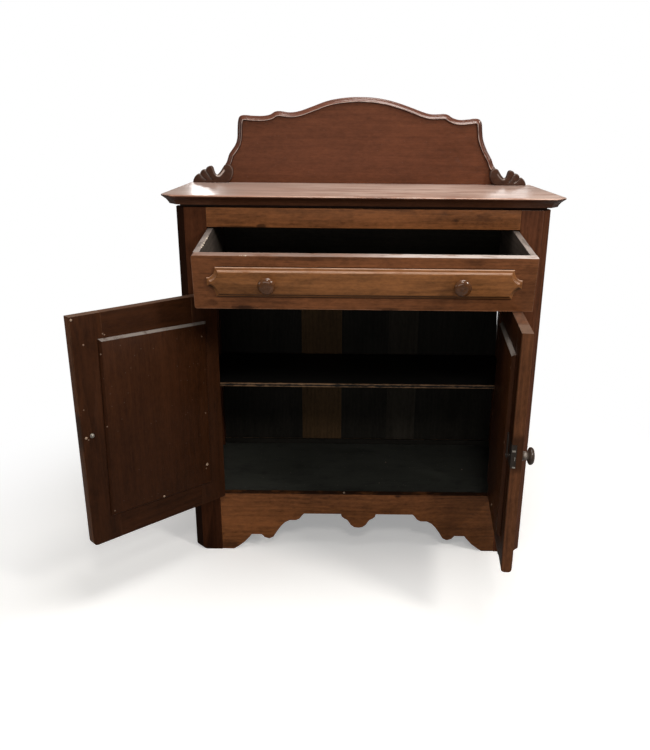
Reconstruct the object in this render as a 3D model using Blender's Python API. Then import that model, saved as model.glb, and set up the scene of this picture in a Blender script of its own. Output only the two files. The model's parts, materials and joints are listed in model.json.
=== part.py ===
"""A commode cabinet: one drawer over two framed doors, with a shaped splashback on its top board.

Metres, +Z up. The origin is on the floor, on the wall line and midway across, so that the cabinet
stands at negative Y and its back boards lie against the wall at Y = 0. The doors stand open and the
drawer is pulled out, tipped over the small roller in the rail below it.
"""
import math

import bmesh
import bpy
from mathutils import Matrix, Vector

# Clearances and small shared sizes
GAP = 0.0003
OVERRUN = 0.004
SIDES = 16

# The carcass as a whole
CARCASS_WIDTH = 0.910
CARCASS_DEPTH = 0.395
POST_TOP = 0.940
POST_WIDTH = 0.075
POST_DEPTH = 0.045
CANT = 0.022

# The top board, its thin lip and the cove under it
TOP_THICKNESS = 0.0235
TOP_SIDE_OVERHANG = 0.033
TOP_OVERHANG = 0.026
TOP_CLIP_ACROSS = 0.032
TOP_CLIP_BACK = 0.040
TOP_LIP = 0.0075
TOP_EASE = 0.0015
TOP_COVE = 0.018
COVE_STEPS = 4
TOP_HOUSING = 0.001

# The recessed packing strip between the carcass and the top board
PACKING_HEIGHT = 0.007
PACKING_SETBACK = 0.010
PACKING_DEPTH = 0.022
PACKING_END_INSET = 0.012

# The splashback: a shaped panel with a bead along its edge
SPLASH_HALF_WIDTH = 0.390
SPLASH_LEAN = 0.0055
SPLASH_HEIGHT = 0.232
SPLASH_THICKNESS = 0.018
SPLASH_OUTLINE_SHARES = (
    (0.000, 1.000), (0.115, 0.989), (0.230, 0.949), (0.320, 0.899), (0.410, 0.850), (0.490, 0.826),
    (0.550, 0.836), (0.598, 0.841), (0.630, 0.824), (0.663, 0.790), (0.705, 0.773), (0.760, 0.782),
    (0.812, 0.792), (0.848, 0.778), (0.870, 0.738), (0.880, 0.670), (0.886, 0.565), (0.899, 0.505),
    (0.916, 0.455), (0.936, 0.418), (0.944, 0.390), (0.952, 0.345), (0.965, 0.290), (0.980, 0.235),
    (0.995, 0.170), (1.012, 0.090), (1.018, 0.000),
)
SPLASH_STEPS = 2
BEAD_WIDTH = 0.0125
BEAD_PROUD = 0.0085
BEAD_FOOT_SHARE = 0.240
BEAD_SIDES = 6

# The carved scroll ears at the splashback's feet, as shares of their length and height
EAR_LAP = 0.0315
EAR_LENGTH = 0.114
EAR_LENGTH_DIFFERENCE = 0.0055
EAR_HEIGHT = 0.0495
EAR_HEIGHT_DIFFERENCE = 0.0025
EAR_THICKNESS = 0.021
EAR_OUTLINE_SHARES = (
    (0.120, 0.000), (0.055, 0.200), (0.015, 0.400), (0.012, 0.620), (0.060, 0.860), (0.134, 0.990),
    (0.185, 0.900), (0.210, 0.690), (0.255, 0.490), (0.310, 0.400), (0.385, 0.385), (0.440, 0.490),
    (0.484, 0.760), (0.540, 0.890), (0.614, 0.835), (0.665, 0.680), (0.724, 0.700), (0.810, 0.540),
    (0.885, 0.515), (0.960, 0.356), (1.000, 0.145), (0.990, 0.000),
)
EAR_STEPS = 2
EAR_EASE = 0.003

# Rear posts, side panels and back boards
REAR_POST_WIDTH = 0.033
REAR_POST_DEPTH = 0.040
SIDE_INSET = 0.008
SIDE_THICKNESS = 0.014
SIDE_FLOOR_GAP = 0.030
SIDE_HOUSING_DEPTH = 0.005
BACK_THICKNESS = 0.012
BACK_FLOOR_GAP = 0.002
BACK_JOINT_SHARES = (-0.415, -0.123, 0.218, 0.429)
CRACK_WIDTH = 0.0022
CRACK_FOOT = 0.500
CRACK_FULL = 0.600
REAR_RAIL_THICKNESS = 0.0115
REAR_RAIL_DROP = 0.042
REAR_RAIL_STAND = 0.015

# Rails across the front
FRIEZE_HEIGHT = 0.0465
FRIEZE_THICKNESS = 0.018
DIVIDER_TOP = 0.764
DIVIDER_HEIGHT = 0.0235

# The roller that the drawer rides over
ROLLER_RADIUS = 0.0030
ROLLER_SETBACK = 0.0045
ROLLER_SINK = 0.0005
ROLLER_END_GAP = 0.001

# Runners under the drawer sides and guides beside them
RUNNER_LAP = 0.030
RUNNER_THICKNESS = 0.0185
GUIDE_THICKNESS = 0.014
GUIDE_HEIGHT = 0.020
GUIDE_CLEARANCE = 0.0012

# Bottom board, shelf and bearers
APRON_TOP = 0.174
APRON_THICKNESS = 0.022
APRON_FLOOR_GAP = 0.001
BOTTOM_TOP = 0.162
BOTTOM_THICKNESS = 0.014
SHELF_TOP = 0.461
SHELF_THICKNESS = 0.010
SHELF_SETBACK = 0.097
BEARER_THICKNESS = 0.016
BEARER_HEIGHT = 0.020
BEARER_SETBACK = 0.102

# The scrolled lower edge of the apron, as shares of the half opening and of the apron's top height
APRON_OUTLINE_SHARES = (
    (0.000, 0.405), (0.030, 0.414), (0.055, 0.455), (0.070, 0.510), (0.082, 0.545), (0.104, 0.570),
    (0.122, 0.605), (0.127, 0.650), (0.395, 0.650), (0.408, 0.620), (0.428, 0.560), (0.455, 0.530),
    (0.500, 0.530), (0.535, 0.490), (0.565, 0.420), (0.595, 0.325), (0.622, 0.225), (0.652, 0.190),
    (0.688, 0.215), (0.708, 0.268), (0.782, 0.268), (0.795, 0.225), (0.838, 0.120), (0.885, 0.040),
    (0.915, 0.000), (1.000, 0.000),
)

# Doors
DOOR_FOOT_GAP = 0.006
DOOR_HEAD_GAP = 0.0025
DOOR_THICKNESS = 0.024
STILE_WIDTH = 0.072
TOP_RAIL_WIDTH = 0.090
BOTTOM_RAIL_WIDTH = 0.084
PANEL_FREE_MARGIN = 0.0545
PANEL_HINGE_MARGIN = 0.0410
PANEL_TOP_MARGIN = 0.062
PANEL_BOTTOM_MARGIN = 0.061
PANEL_THICKNESS = 0.009
PANEL_BEVEL = 0.0050
PANEL_BEVEL_DEPTH = 0.0065
FIELD_CLEARANCE = 0.001
FIELD_SETBACK = 0.010
FIELD_CHAMFER = 0.014
FIELD_CHAMFER_DEPTH = 0.006
LEFT_DOOR_OPEN = math.radians(135.8)
RIGHT_DOOR_OPEN = math.radians(84.6)

# Butt hinges
HINGE_GAP = 0.0015
HINGE_PROUD = 0.0040
HINGE_LENGTH = 0.064
HINGE_INSET = 0.080
LEAF_THICKNESS = 0.0018
LEAF_WIDTH = 0.018
KNUCKLE_RADIUS = 0.0036
KNUCKLE_PLAY = 0.00035
KNUCKLE_SHARE = 1 / 3
PIN_RADIUS = 0.0016
TAB_ROOT = 0.0026
SWING_CLEARANCE = 0.0001

# The turning catch in the right door, and the stud that it bears on
CATCH_HEIGHT = 0.4585
CATCH_INSET = 0.0245
CATCH_BLOCK_DEPTH = 0.011
CATCH_BLOCK_LENGTH = 0.040
CATCH_BLOCK_BELOW = 0.020
CATCH_BLOCK_ABOVE = 0.034
SPINDLE_RADIUS = 0.0035
TONGUE_LENGTH = 0.052
TONGUE_WIDTH = 0.011
TONGUE_THICKNESS = 0.0025
SPINDLE_END = 0.0015
SPINDLE_IN_KNOB = 0.012
STUD_DROP = 0.0005
STUD_INSET = 0.0240
STUD_RADIUS = 0.0052
STUD_DOME = 0.0042
STUD_SHANK_RADIUS = 0.0016
STUD_SHANK = 0.012

# Drawer
DRAWER_SIDE_PLAY = 0.0015
DRAWER_TOP_PLAY = 0.0042
DRAWER_REAR_PLAY = 0.011
DRAWER_FRONT_THICKNESS = 0.024
DRAWER_SIDE_THICKNESS = 0.014
DRAWER_SIDE_INSET = 0.0004
DRAWER_BACK_THICKNESS = 0.012
DRAWER_BACK_DROP = 0.012
DRAWER_BOTTOM_THICKNESS = 0.008
DRAWER_BOTTOM_RISE = 0.012
DRAWER_PULLED = 0.199
DRAWER_TIP = math.radians(7.75)

# The planted panel on the drawer front, with a hollow notch at each corner
PLANT_END_MARGIN = 0.0315
PLANT_FOOT_MARGIN = 0.030
PLANT_HEAD_MARGIN = 0.0255
PLANT_THICKNESS = 0.010
NOTCH_ACROSS = 0.0195
NOTCH_UP = 0.0240
PLANT_BEVEL = 0.008
PLANT_BEVEL_DEPTH = 0.0065
NOTCH_STEPS = 6

# Turned knobs: their place on the drawer, and their profile as shares of radius and length
KNOB_END_MARGIN = 0.134
KNOB_RISE = 0.0645
KNOB_RADIUS = 0.0195
KNOB_LENGTH = 0.029
KNOB_SIDES = 24
SPIGOT_RADIUS = 0.006
SPIGOT_LENGTH = 0.020
KNOB_PROFILE_SHARES = (
    (0.640, 0.000), (0.640, 0.070), (0.560, 0.130), (0.480, 0.250), (0.470, 0.380), (0.560, 0.470),
    (0.800, 0.540), (0.960, 0.610), (1.000, 0.700), (0.960, 0.800), (0.850, 0.860), (0.800, 0.845),
    (0.740, 0.880), (0.500, 0.950), (0.420, 0.935), (0.340, 0.970), (0.120, 1.000),
)

# Worked out from the sizes above
FRONT = -CARCASS_DEPTH
CARCASS_HALF = CARCASS_WIDTH / 2
OPENING_HALF = CARCASS_HALF - POST_WIDTH
TOP_HALF_WIDTH = CARCASS_HALF + TOP_SIDE_OVERHANG
TOP_UNDERSIDE = POST_TOP + PACKING_HEIGHT
FRIEZE_BOTTOM = POST_TOP - FRIEZE_HEIGHT
DIVIDER_BOTTOM = DIVIDER_TOP - DIVIDER_HEIGHT
DOOR_BOTTOM = APRON_TOP + DOOR_FOOT_GAP
DOOR_TOP = DIVIDER_BOTTOM - DOOR_HEAD_GAP
TOP_LEVEL = TOP_UNDERSIDE + TOP_THICKNESS
REAR_INNER = CARCASS_HALF - REAR_POST_WIDTH
SIDE_OUTER = CARCASS_HALF - SIDE_INSET
SIDE_INNER = SIDE_OUTER - SIDE_THICKNESS
AXIS_X = OPENING_HALF - HINGE_GAP / 2
AXIS_Y = FRONT - HINGE_PROUD
EDGE_TO_AXIS = HINGE_GAP / 2
SWING_DEPTH = HINGE_PROUD + DOOR_THICKNESS
DOOR_WIDTH = math.sqrt(AXIS_X ** 2 - SWING_DEPTH ** 2) - EDGE_TO_AXIS - SWING_CLEARANCE
ROLLER_LEVEL = DIVIDER_TOP - ROLLER_SINK
DRAWER_LEVEL = ROLLER_LEVEL + ROLLER_RADIUS + GAP
DRAWER_WIDTH = OPENING_HALF * 2 - DRAWER_SIDE_PLAY * 2
DRAWER_HEIGHT = FRIEZE_BOTTOM - DRAWER_LEVEL - DRAWER_TOP_PLAY
DRAWER_DEPTH = CARCASS_DEPTH - BACK_THICKNESS - DRAWER_REAR_PLAY
PLANT_HALF_WIDTH = DRAWER_WIDTH / 2 - PLANT_END_MARGIN
PLANT_HALF_HEIGHT = (DRAWER_HEIGHT - PLANT_FOOT_MARGIN - PLANT_HEAD_MARGIN) / 2
PLANT_RISE = PLANT_FOOT_MARGIN + PLANT_HALF_HEIGHT
KNOB_SPREAD = PLANT_HALF_WIDTH - KNOB_END_MARGIN
EAR_INNER = SPLASH_HALF_WIDTH - EAR_LAP
STUD_HEIGHT = CATCH_HEIGHT - STUD_DROP
SPLASH_FOOT = TOP_LEVEL - TOP_HOUSING + GAP
EAR_LENGTHS = {-1: EAR_LENGTH + EAR_LENGTH_DIFFERENCE, 1: EAR_LENGTH - EAR_LENGTH_DIFFERENCE}
EAR_HEIGHTS = {-1: EAR_HEIGHT + EAR_HEIGHT_DIFFERENCE, 1: EAR_HEIGHT - EAR_HEIGHT_DIFFERENCE}


def clear_scene():
    for ob in list(bpy.data.objects):
        bpy.data.objects.remove(ob, do_unlink=True)


def material(name, colour, roughness, metallic=0.0):
    mat = bpy.data.materials.new(name)
    mat.use_nodes = True
    shader = mat.node_tree.nodes["Principled BSDF"]
    shader.inputs["Base Color"].default_value = (*colour, 1.0)
    shader.inputs["Roughness"].default_value = roughness
    shader.inputs["Metallic"].default_value = metallic
    mat.diffuse_color = (*colour, 1.0)
    return mat


def add_object(name, bm, mat, parent, smooth=False):
    """Turns a bmesh into an object whose origin is the middle of its box."""
    bmesh.ops.recalc_face_normals(bm, faces=bm.faces)
    low = Vector(tuple(min(v.co[i] for v in bm.verts) for i in range(3)))
    high = Vector(tuple(max(v.co[i] for v in bm.verts) for i in range(3)))
    middle = (low + high) / 2
    bmesh.ops.translate(bm, verts=bm.verts, vec=-middle)
    mesh = bpy.data.meshes.new(name)
    bm.to_mesh(mesh)
    bm.free()
    if smooth:
        mesh.shade_smooth()
        mesh.set_sharp_from_angle(angle=math.radians(35))
    ob = bpy.data.objects.new(name, mesh)
    if mat:
        mesh.materials.append(mat)
    bpy.context.scene.collection.objects.link(ob)
    ob.parent = parent
    ob.location = middle
    return ob


def loft(name, rings, mat, parent=None, smooth=False):
    """A closed solid through rings of points, with a flat cap on the first and the last."""
    bm = bmesh.new()
    loops = [[bm.verts.new(p) for p in ring] for ring in rings]
    count = len(rings[0])
    for lower, upper in zip(loops, loops[1:]):
        for i in range(count):
            j = (i + 1) % count
            bm.faces.new((lower[i], lower[j], upper[j], upper[i]))
    bm.faces.new(loops[0])
    bm.faces.new(loops[-1])
    return add_object(name, bm, mat, parent, smooth)


def box(name, x_range, y_range, z_range, mat, parent=None):
    rings = []
    for z in z_range:
        rings.append([(x_range[0], y_range[0], z), (x_range[1], y_range[0], z),
                      (x_range[1], y_range[1], z), (x_range[0], y_range[1], z)])
    return loft(name, rings, mat, parent)


def prism(name, outline, axis, ends, mat, parent=None):
    """An outline of (x, y), (x, z) or (y, z) points, extruded along the axis left over."""
    place = {"Z": lambda a, b, c: (a, b, c), "Y": lambda a, b, c: (a, c, b), "X": lambda a, b, c: (c, a, b)}
    rings = [[place[axis](a, b, end) for a, b in outline] for end in ends]
    return loft(name, rings, mat, parent)


def turned(name, profile, mat, parent=None, axis="Z", at=(0, 0, 0), sides=SIDES):
    """A solid turned about an axis: profile holds (radius, distance along the axis) from foot to head."""
    turn = {"Z": Matrix.Identity(3), "-Y": Matrix.Rotation(math.pi / 2, 3, "X"),
            "X": Matrix.Rotation(math.pi / 2, 3, "Y")}[axis]
    rings = []
    for radius, along in profile:
        ring = []
        for i in range(sides):
            angle = 2 * math.pi * (i + 0.5) / sides
            point = Vector((radius * math.cos(angle), radius * math.sin(angle), along))
            ring.append(turn @ point + Vector(at))
        rings.append(ring)
    return loft(name, rings, mat, parent, smooth=True)


def tool(ob):
    """Marks an object as a shape that only cuts or joins others."""
    ob.hide_render = True
    ob.display_type = "WIRE"
    return ob


def combine(ob, other, operation):
    step = ob.modifiers.new(f"{operation.lower()} {other.name}", "BOOLEAN")
    step.operation = operation
    step.solver = "EXACT"
    step.object = tool(other)


def cut(ob, cutter):
    combine(ob, cutter, "DIFFERENCE")


def join(ob, other):
    combine(ob, other, "UNION")


def smooth_through(points, steps):
    """Points on a smooth curve through the given points, steps to each stretch."""
    out = []
    for i in range(len(points) - 1):
        before = points[max(i - 1, 0)]
        start, end = points[i], points[i + 1]
        after = points[min(i + 2, len(points) - 1)]
        for k in range(steps):
            t = k / steps
            pair = []
            for p0, p1, p2, p3 in zip(before, start, end, after):
                bend = (2 * p0 - 5 * p1 + 4 * p2 - p3) * t * t + (3 * p1 - p0 - 3 * p2 + p3) * t ** 3
                pair.append((2 * p1 + (p2 - p0) * t + bend) / 2)
            out.append(tuple(pair))
    out.append(points[-1])
    return out


def mirrored(half, left_share=1.0):
    """A full outline from a right half that starts on the middle line, its left half wider by a share."""
    return [(-x * left_share, z) for x, z in reversed(half)] + [(x, z) for x, z in half[1:]]


def inset(outline, distances):
    """A convex outline whose edges are each moved inwards: distances[i] is for the edge from point i."""
    count = len(outline)
    area = sum(outline[i][0] * outline[(i + 1) % count][1] - outline[(i + 1) % count][0] * outline[i][1]
               for i in range(count))
    turn = 1 if area > 0 else -1
    lines = []
    for i in range(count):
        start, end = Vector(outline[i]), Vector(outline[(i + 1) % count])
        along = (end - start).normalized()
        inward = Vector((-along.y, along.x)) * turn
        lines.append((start + inward * distances[i], along))
    moved = []
    for i in range(count):
        (p, d), (q, e) = lines[i - 1], lines[i]
        span = d.x * e.y - d.y * e.x
        reach = ((q.x - p.x) * e.y - (q.y - p.y) * e.x) / span
        moved.append((p.x + d.x * reach, p.y + d.y * reach))
    return moved


def name_of(side):
    return "left" if side < 0 else "right"


def make_top_board(mats):
    front = FRONT - TOP_OVERHANG
    across = TOP_HALF_WIDTH - TOP_CLIP_ACROSS
    back = front + TOP_CLIP_BACK
    outline = [(-TOP_HALF_WIDTH, 0), (-TOP_HALF_WIDTH, back), (-across, front), (across, front),
               (TOP_HALF_WIDTH, back), (TOP_HALF_WIDTH, 0)]

    def ring(depth, z):
        moved = inset(outline, [depth, depth, depth, depth, depth, 0])
        return [(x, y, z) for x, y in moved]

    rings = [ring(TOP_EASE, TOP_LEVEL), ring(0, TOP_LEVEL - TOP_EASE), ring(0, TOP_LEVEL - TOP_LIP)]
    cove_height = TOP_THICKNESS - TOP_LIP
    for i in range(1, COVE_STEPS + 1):
        angle = math.pi / 2 * i / COVE_STEPS
        rings.append(ring(TOP_COVE * math.sin(angle), TOP_LEVEL - TOP_LIP - cove_height * (1 - math.cos(angle))))
    board = loft("top_board", rings, mats["top"])
    housing = (TOP_LEVEL - TOP_HOUSING, TOP_LEVEL + OVERRUN)
    ends = [x for x, z in splash_outline()]
    rear = -SPLASH_THICKNESS - GAP
    cut(board, box("splash_housing", (min(ends) - GAP, max(ends) + GAP), (rear, OVERRUN), housing, None))
    for side in (-1, 1):
        reach = EAR_INNER + EAR_LENGTHS[side] + GAP
        cut(board, box(f"ear_housing_{name_of(side)}", (side * (EAR_INNER - GAP), side * reach),
                       (rear - EAR_THICKNESS - GAP, rear + GAP), housing, None))
    box("top_packing", (PACKING_END_INSET - CARCASS_HALF, CARCASS_HALF - PACKING_END_INSET),
        (FRONT + PACKING_SETBACK, FRONT + PACKING_SETBACK + PACKING_DEPTH),
        (POST_TOP + GAP, TOP_UNDERSIDE - GAP), mats["dark wood"])


def splash_outline():
    """The splashback stands a little off centre, with its crest on the cabinet's middle line."""
    right = SPLASH_HALF_WIDTH - SPLASH_LEAN
    half = [(right * a, SPLASH_HEIGHT * b) for a, b in SPLASH_OUTLINE_SHARES]
    return mirrored(smooth_through(half, SPLASH_STEPS), (SPLASH_HALF_WIDTH + SPLASH_LEAN) / right)


def make_splashback(mats):
    foot = SPLASH_FOOT
    outline = [(x, z + foot) for x, z in splash_outline()]
    prism("splash_panel", outline, "Y", (-SPLASH_THICKNESS, 0), mats["splash"])

    line = [Vector(p) for p in splash_outline() if p[1] >= SPLASH_HEIGHT * BEAD_FOOT_SHARE]
    rings = []
    for i, point in enumerate(line):
        along = (line[min(i + 1, len(line) - 1)] - line[max(i - 1, 0)]).normalized()
        inward = Vector((along.y, -along.x))
        middle = point + inward * (BEAD_WIDTH / 2)
        ring = []
        for k in range(BEAD_SIDES + 1):
            angle = math.pi * k / BEAD_SIDES
            spot = middle + inward * (BEAD_WIDTH / 2 * math.cos(angle))
            ring.append((spot.x, -SPLASH_THICKNESS - GAP - BEAD_PROUD * math.sin(angle), spot.y + foot))
        rings.append(ring)
    loft("splash_bead", rings, mats["splash"], smooth=True)


def make_ear(side, mats):
    """A leaf scroll that stands on the top board before the splashback's foot."""
    shares = smooth_through(EAR_OUTLINE_SHARES[1:-1], EAR_STEPS)
    shares = [EAR_OUTLINE_SHARES[0]] + shares + [EAR_OUTLINE_SHARES[-1]]
    outline = [(side * (EAR_INNER + EAR_LENGTHS[side] * a), SPLASH_FOOT + EAR_HEIGHTS[side] * b)
               for a, b in shares]
    rear = -SPLASH_THICKNESS - GAP
    ear = prism(f"scroll_ear_{name_of(side)}", outline, "Y", (rear - EAR_THICKNESS, rear), mats["carving"])
    return ear


def make_front_post(side, mats):
    rear = FRONT + POST_DEPTH
    outline = [(side * OPENING_HALF, FRONT), (side * (CARCASS_HALF - CANT), FRONT),
               (side * CARCASS_HALF, FRONT + CANT), (side * CARCASS_HALF, rear), (side * OPENING_HALF, rear)]
    return prism(f"front_post_{name_of(side)}", outline, "Z", (0, POST_TOP), mats["post"])


def make_sides(side, mats):
    tag = name_of(side)
    top = TOP_UNDERSIDE - GAP
    box(f"rear_post_{tag}", (side * REAR_INNER, side * CARCASS_HALF), (-REAR_POST_DEPTH, 0), (0, top),
        mats["dark wood"])
    panel = box(f"side_panel_{tag}", (side * SIDE_INNER, side * SIDE_OUTER),
                (FRONT + POST_DEPTH + GAP, -REAR_POST_DEPTH - GAP), (SIDE_FLOOR_GAP, top), mats["post"])
    housing = box(f"housing_{tag}", (side * (SIDE_INNER - OVERRUN), side * (SIDE_INNER + SIDE_HOUSING_DEPTH)),
                  (FRONT, OVERRUN), (BOTTOM_TOP - BOTTOM_THICKNESS - GAP, BOTTOM_TOP + GAP), None)
    cut(panel, housing)
    rear = -REAR_POST_DEPTH - GAP
    bearer_top = SHELF_TOP - SHELF_THICKNESS - GAP
    bearer_outer = SIDE_INNER - GAP
    box(f"shelf_bearer_{tag}", (side * (bearer_outer - BEARER_THICKNESS), side * bearer_outer),
        (FRONT + BEARER_SETBACK, rear), (bearer_top - BEARER_HEIGHT, bearer_top), mats["inside"])


def make_back(mats):
    """Upright boards side by side, with a tapering crack beside the last one."""
    edge = REAR_INNER - GAP
    joints = (-edge, *(edge * share for share in BACK_JOINT_SHARES), edge)
    top = TOP_UNDERSIDE - GAP
    for number, (left, right) in enumerate(zip(joints, joints[1:]), start=1):
        start = left if number == 1 else left + GAP
        outline = [(start, BACK_FLOOR_GAP), (right, BACK_FLOOR_GAP), (right, top), (start, top)]
        if number == len(joints) - 1:
            outline = [(start, BACK_FLOOR_GAP), (right, BACK_FLOOR_GAP), (right, CRACK_FOOT),
                       (right - CRACK_WIDTH, CRACK_FULL), (right - CRACK_WIDTH, top), (start, top)]
        prism(f"back_board_{number}", outline, "Y", (-BACK_THICKNESS, 0), mats[f"back {number}"])
    rear = -BACK_THICKNESS - GAP
    box("rear_bottom_rail", (-edge, edge), (rear - REAR_RAIL_THICKNESS, rear),
        (BOTTOM_TOP - REAR_RAIL_DROP, BOTTOM_TOP + REAR_RAIL_STAND), mats["inside"])


def make_front_rails(mats):
    edge = OPENING_HALF - GAP
    box("frieze_rail", (-edge, edge), (FRONT, FRONT + FRIEZE_THICKNESS), (FRIEZE_BOTTOM, POST_TOP),
        mats["front"])
    divider = box("divider_rail", (-edge, edge), (FRONT, FRONT + POST_DEPTH), (DIVIDER_BOTTOM, DIVIDER_TOP),
                  mats["front"])
    reach = OPENING_HALF + OVERRUN
    groove = turned("roller_groove", [(ROLLER_RADIUS + GAP, -reach), (ROLLER_RADIUS + GAP, reach)], None,
                    axis="X", at=(0, FRONT + ROLLER_SETBACK, ROLLER_LEVEL))
    cut(divider, groove)


def apron_outline():
    high = APRON_TOP - APRON_FLOOR_GAP
    edge = OPENING_HALF - GAP
    half = [(edge * a, APRON_FLOOR_GAP + high * b) for a, b in APRON_OUTLINE_SHARES]
    return mirrored(half) + [(edge, APRON_TOP), (-edge, APRON_TOP)]


def make_floor_pieces(mats):
    prism("apron", apron_outline(), "Y", (FRONT, FRONT + APRON_THICKNESS), mats["front"])

    front = FRONT + APRON_THICKNESS + GAP
    post_rear = FRONT + POST_DEPTH + GAP
    rear_post = -REAR_POST_DEPTH - GAP
    rear = -BACK_THICKNESS - REAR_RAIL_THICKNESS - GAP - GAP
    between_posts = OPENING_HALF - GAP
    housed = SIDE_INNER + SIDE_HOUSING_DEPTH - GAP
    between_rear = REAR_INNER - GAP
    half = [(between_posts, front), (between_posts, post_rear), (housed, post_rear), (housed, rear_post),
            (between_rear, rear_post), (between_rear, rear)]
    outline = half + [(-x, y) for x, y in reversed(half)]
    prism("bottom_board", outline, "Z", (BOTTOM_TOP - BOTTOM_THICKNESS, BOTTOM_TOP), mats["floor"])

    shelf_edge = SIDE_INNER - GAP
    shelf_rear = -BACK_THICKNESS - GAP
    half = [(shelf_edge, FRONT + SHELF_SETBACK), (shelf_edge, rear_post), (between_rear, rear_post),
            (between_rear, shelf_rear)]
    outline = half + [(-x, y) for x, y in reversed(half)]
    prism("shelf", outline, "Z", (SHELF_TOP - SHELF_THICKNESS, SHELF_TOP), mats["shelf"])


def make_runner(side, mats):
    """The board that a drawer side runs on, and the guide strip that keeps it straight."""
    tag = name_of(side)
    top = DRAWER_LEVEL - GAP
    outer = SIDE_INNER - GAP
    y_range = (FRONT + POST_DEPTH + GAP, -REAR_POST_DEPTH - GAP)
    inner = OPENING_HALF - RUNNER_LAP
    box(f"drawer_runner_{tag}", (side * inner, side * outer), y_range, (top - RUNNER_THICKNESS, top),
        mats["inside"])
    guide_inner = DRAWER_WIDTH / 2 + GUIDE_CLEARANCE
    box(f"drawer_guide_{tag}", (side * guide_inner, side * (guide_inner + GUIDE_THICKNESS)), y_range,
        (top + GAP, top + GAP + GUIDE_HEIGHT), mats["inside"])


def leaf_outline(tabs):
    """A hinge leaf seen from the side, as (y, z) from the pin, with tabs that reach its knuckles."""
    front = KNUCKLE_RADIUS + KNUCKLE_PLAY
    half = HINGE_LENGTH / 2
    rear = HINGE_PROUD + LEAF_WIDTH
    points = [(rear, -half), (rear, half)]
    for low, high in sorted(tabs, reverse=True):
        points += [(front, high), (TAB_ROOT, high), (TAB_ROOT, low), (front, low)]
    if tabs[0][0] > -half:
        points = [(rear, -half), (rear, half), (front, half)] + points[2:] + [(front, -half)]
    return points


def make_leaf(name, across, tabs, knuckles, pin, z, mat, parent, axis_at):
    """One leaf of a hinge: across is the range of x from the pin that its plate fills."""
    outline = [(axis_at[1] + y, z + dz) for y, dz in leaf_outline(tabs)]
    ends = tuple(axis_at[0] + x for x in across)
    leaf = prism(name, outline, "X", ends, mat, parent)
    at = (axis_at[0], axis_at[1], z)
    for number, (low, high) in enumerate(knuckles):
        join(leaf, turned(f"{name}_knuckle_{number}", [(KNUCKLE_RADIUS, low), (KNUCKLE_RADIUS, high)], mat,
                          parent, at=at))
        if not pin:
            bore = PIN_RADIUS + GAP
            cut(leaf, turned(f"{name}_bore_{number}", [(bore, low - OVERRUN), (bore, high + OVERRUN)], None,
                             parent, at=at))
    if pin:
        half = HINGE_LENGTH / 2
        join(leaf, turned(f"{name}_pin", [(PIN_RADIUS, -half), (PIN_RADIUS, half)], mat, parent, at=at))
    return leaf


def hinge_levels():
    return {"lower": DOOR_BOTTOM + HINGE_INSET, "upper": DOOR_TOP - HINGE_INSET}


def make_hinges(side, post, stile, door, mats):
    """Two butt hinges: the frame leaves stay with the post, and the door leaves carry the pins."""
    tag = name_of(side)
    towards_door = -side
    half = HINGE_LENGTH / 2
    middle = HINGE_LENGTH * KNUCKLE_SHARE / 2
    near, far = GAP / 2, GAP / 2 + LEAF_THICKNESS
    for level, z in hinge_levels().items():
        frame_zones = [(-half, -middle - GAP), (middle + GAP, half)]
        frame_at = (side * AXIS_X, AXIS_Y)
        make_leaf(f"{tag}_{level}_frame_leaf", (side * near, side * far), frame_zones, frame_zones, False, z,
                  mats["brass"], None, frame_at)
        make_leaf(f"{tag}_{level}_door_leaf", (towards_door * near, towards_door * far), [(-middle, middle)],
                  [(-middle, middle)], True, z, mats["brass"], door, (0, 0))
        z_range = (z - half - GAP, z + half + GAP)
        deep = far - HINGE_GAP / 2 + GAP
        cut(post, box(f"{tag}_{level}_post_recess",
                      (side * (OPENING_HALF - OVERRUN), side * (OPENING_HALF + deep)),
                      (FRONT - OVERRUN, FRONT + LEAF_WIDTH + GAP), z_range, None))
        cut(stile, box(f"{tag}_{level}_stile_recess",
                       (towards_door * (EDGE_TO_AXIS - OVERRUN), towards_door * (EDGE_TO_AXIS + deep)),
                       (HINGE_PROUD - OVERRUN, HINGE_PROUD + LEAF_WIDTH + GAP), z_range, None, door))


def make_door(side, post, mats):
    """A framed door, made shut in the frame of its hinge axis and then swung open."""
    tag = name_of(side)
    door = bpy.data.objects.new(f"{tag} door axis", None)
    bpy.context.scene.collection.objects.link(door)
    door.location = (side * AXIS_X, AXIS_Y, 0)
    door.rotation_euler = (0, 0, RIGHT_DOOR_OPEN if side > 0 else -LEFT_DOOR_OPEN)

    def across(start, end):
        return (-side * (start + EDGE_TO_AXIS), -side * (end + EDGE_TO_AXIS))

    def through(start, end):
        return (start + HINGE_PROUD, end + HINGE_PROUD)

    thick = through(0, DOOR_THICKNESS)
    wood = mats["door"]
    hinge_stile = box(f"{tag}_hinge_stile", across(0, STILE_WIDTH), thick, (DOOR_BOTTOM, DOOR_TOP), wood, door)
    meeting_stile = box(f"{tag}_meeting_stile", across(DOOR_WIDTH - STILE_WIDTH, DOOR_WIDTH), thick,
                        (DOOR_BOTTOM, DOOR_TOP), wood, door)
    rails = across(STILE_WIDTH + GAP, DOOR_WIDTH - STILE_WIDTH - GAP)
    box(f"{tag}_top_rail", rails, thick, (DOOR_TOP - TOP_RAIL_WIDTH, DOOR_TOP), wood, door)
    box(f"{tag}_bottom_rail", rails, thick, (DOOR_BOTTOM, DOOR_BOTTOM + BOTTOM_RAIL_WIDTH), wood, door)
    make_door_panel(tag, across, through, door, mats)
    make_hinges(side, post, hinge_stile, door, mats)
    return door, meeting_stile, across, through


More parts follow.
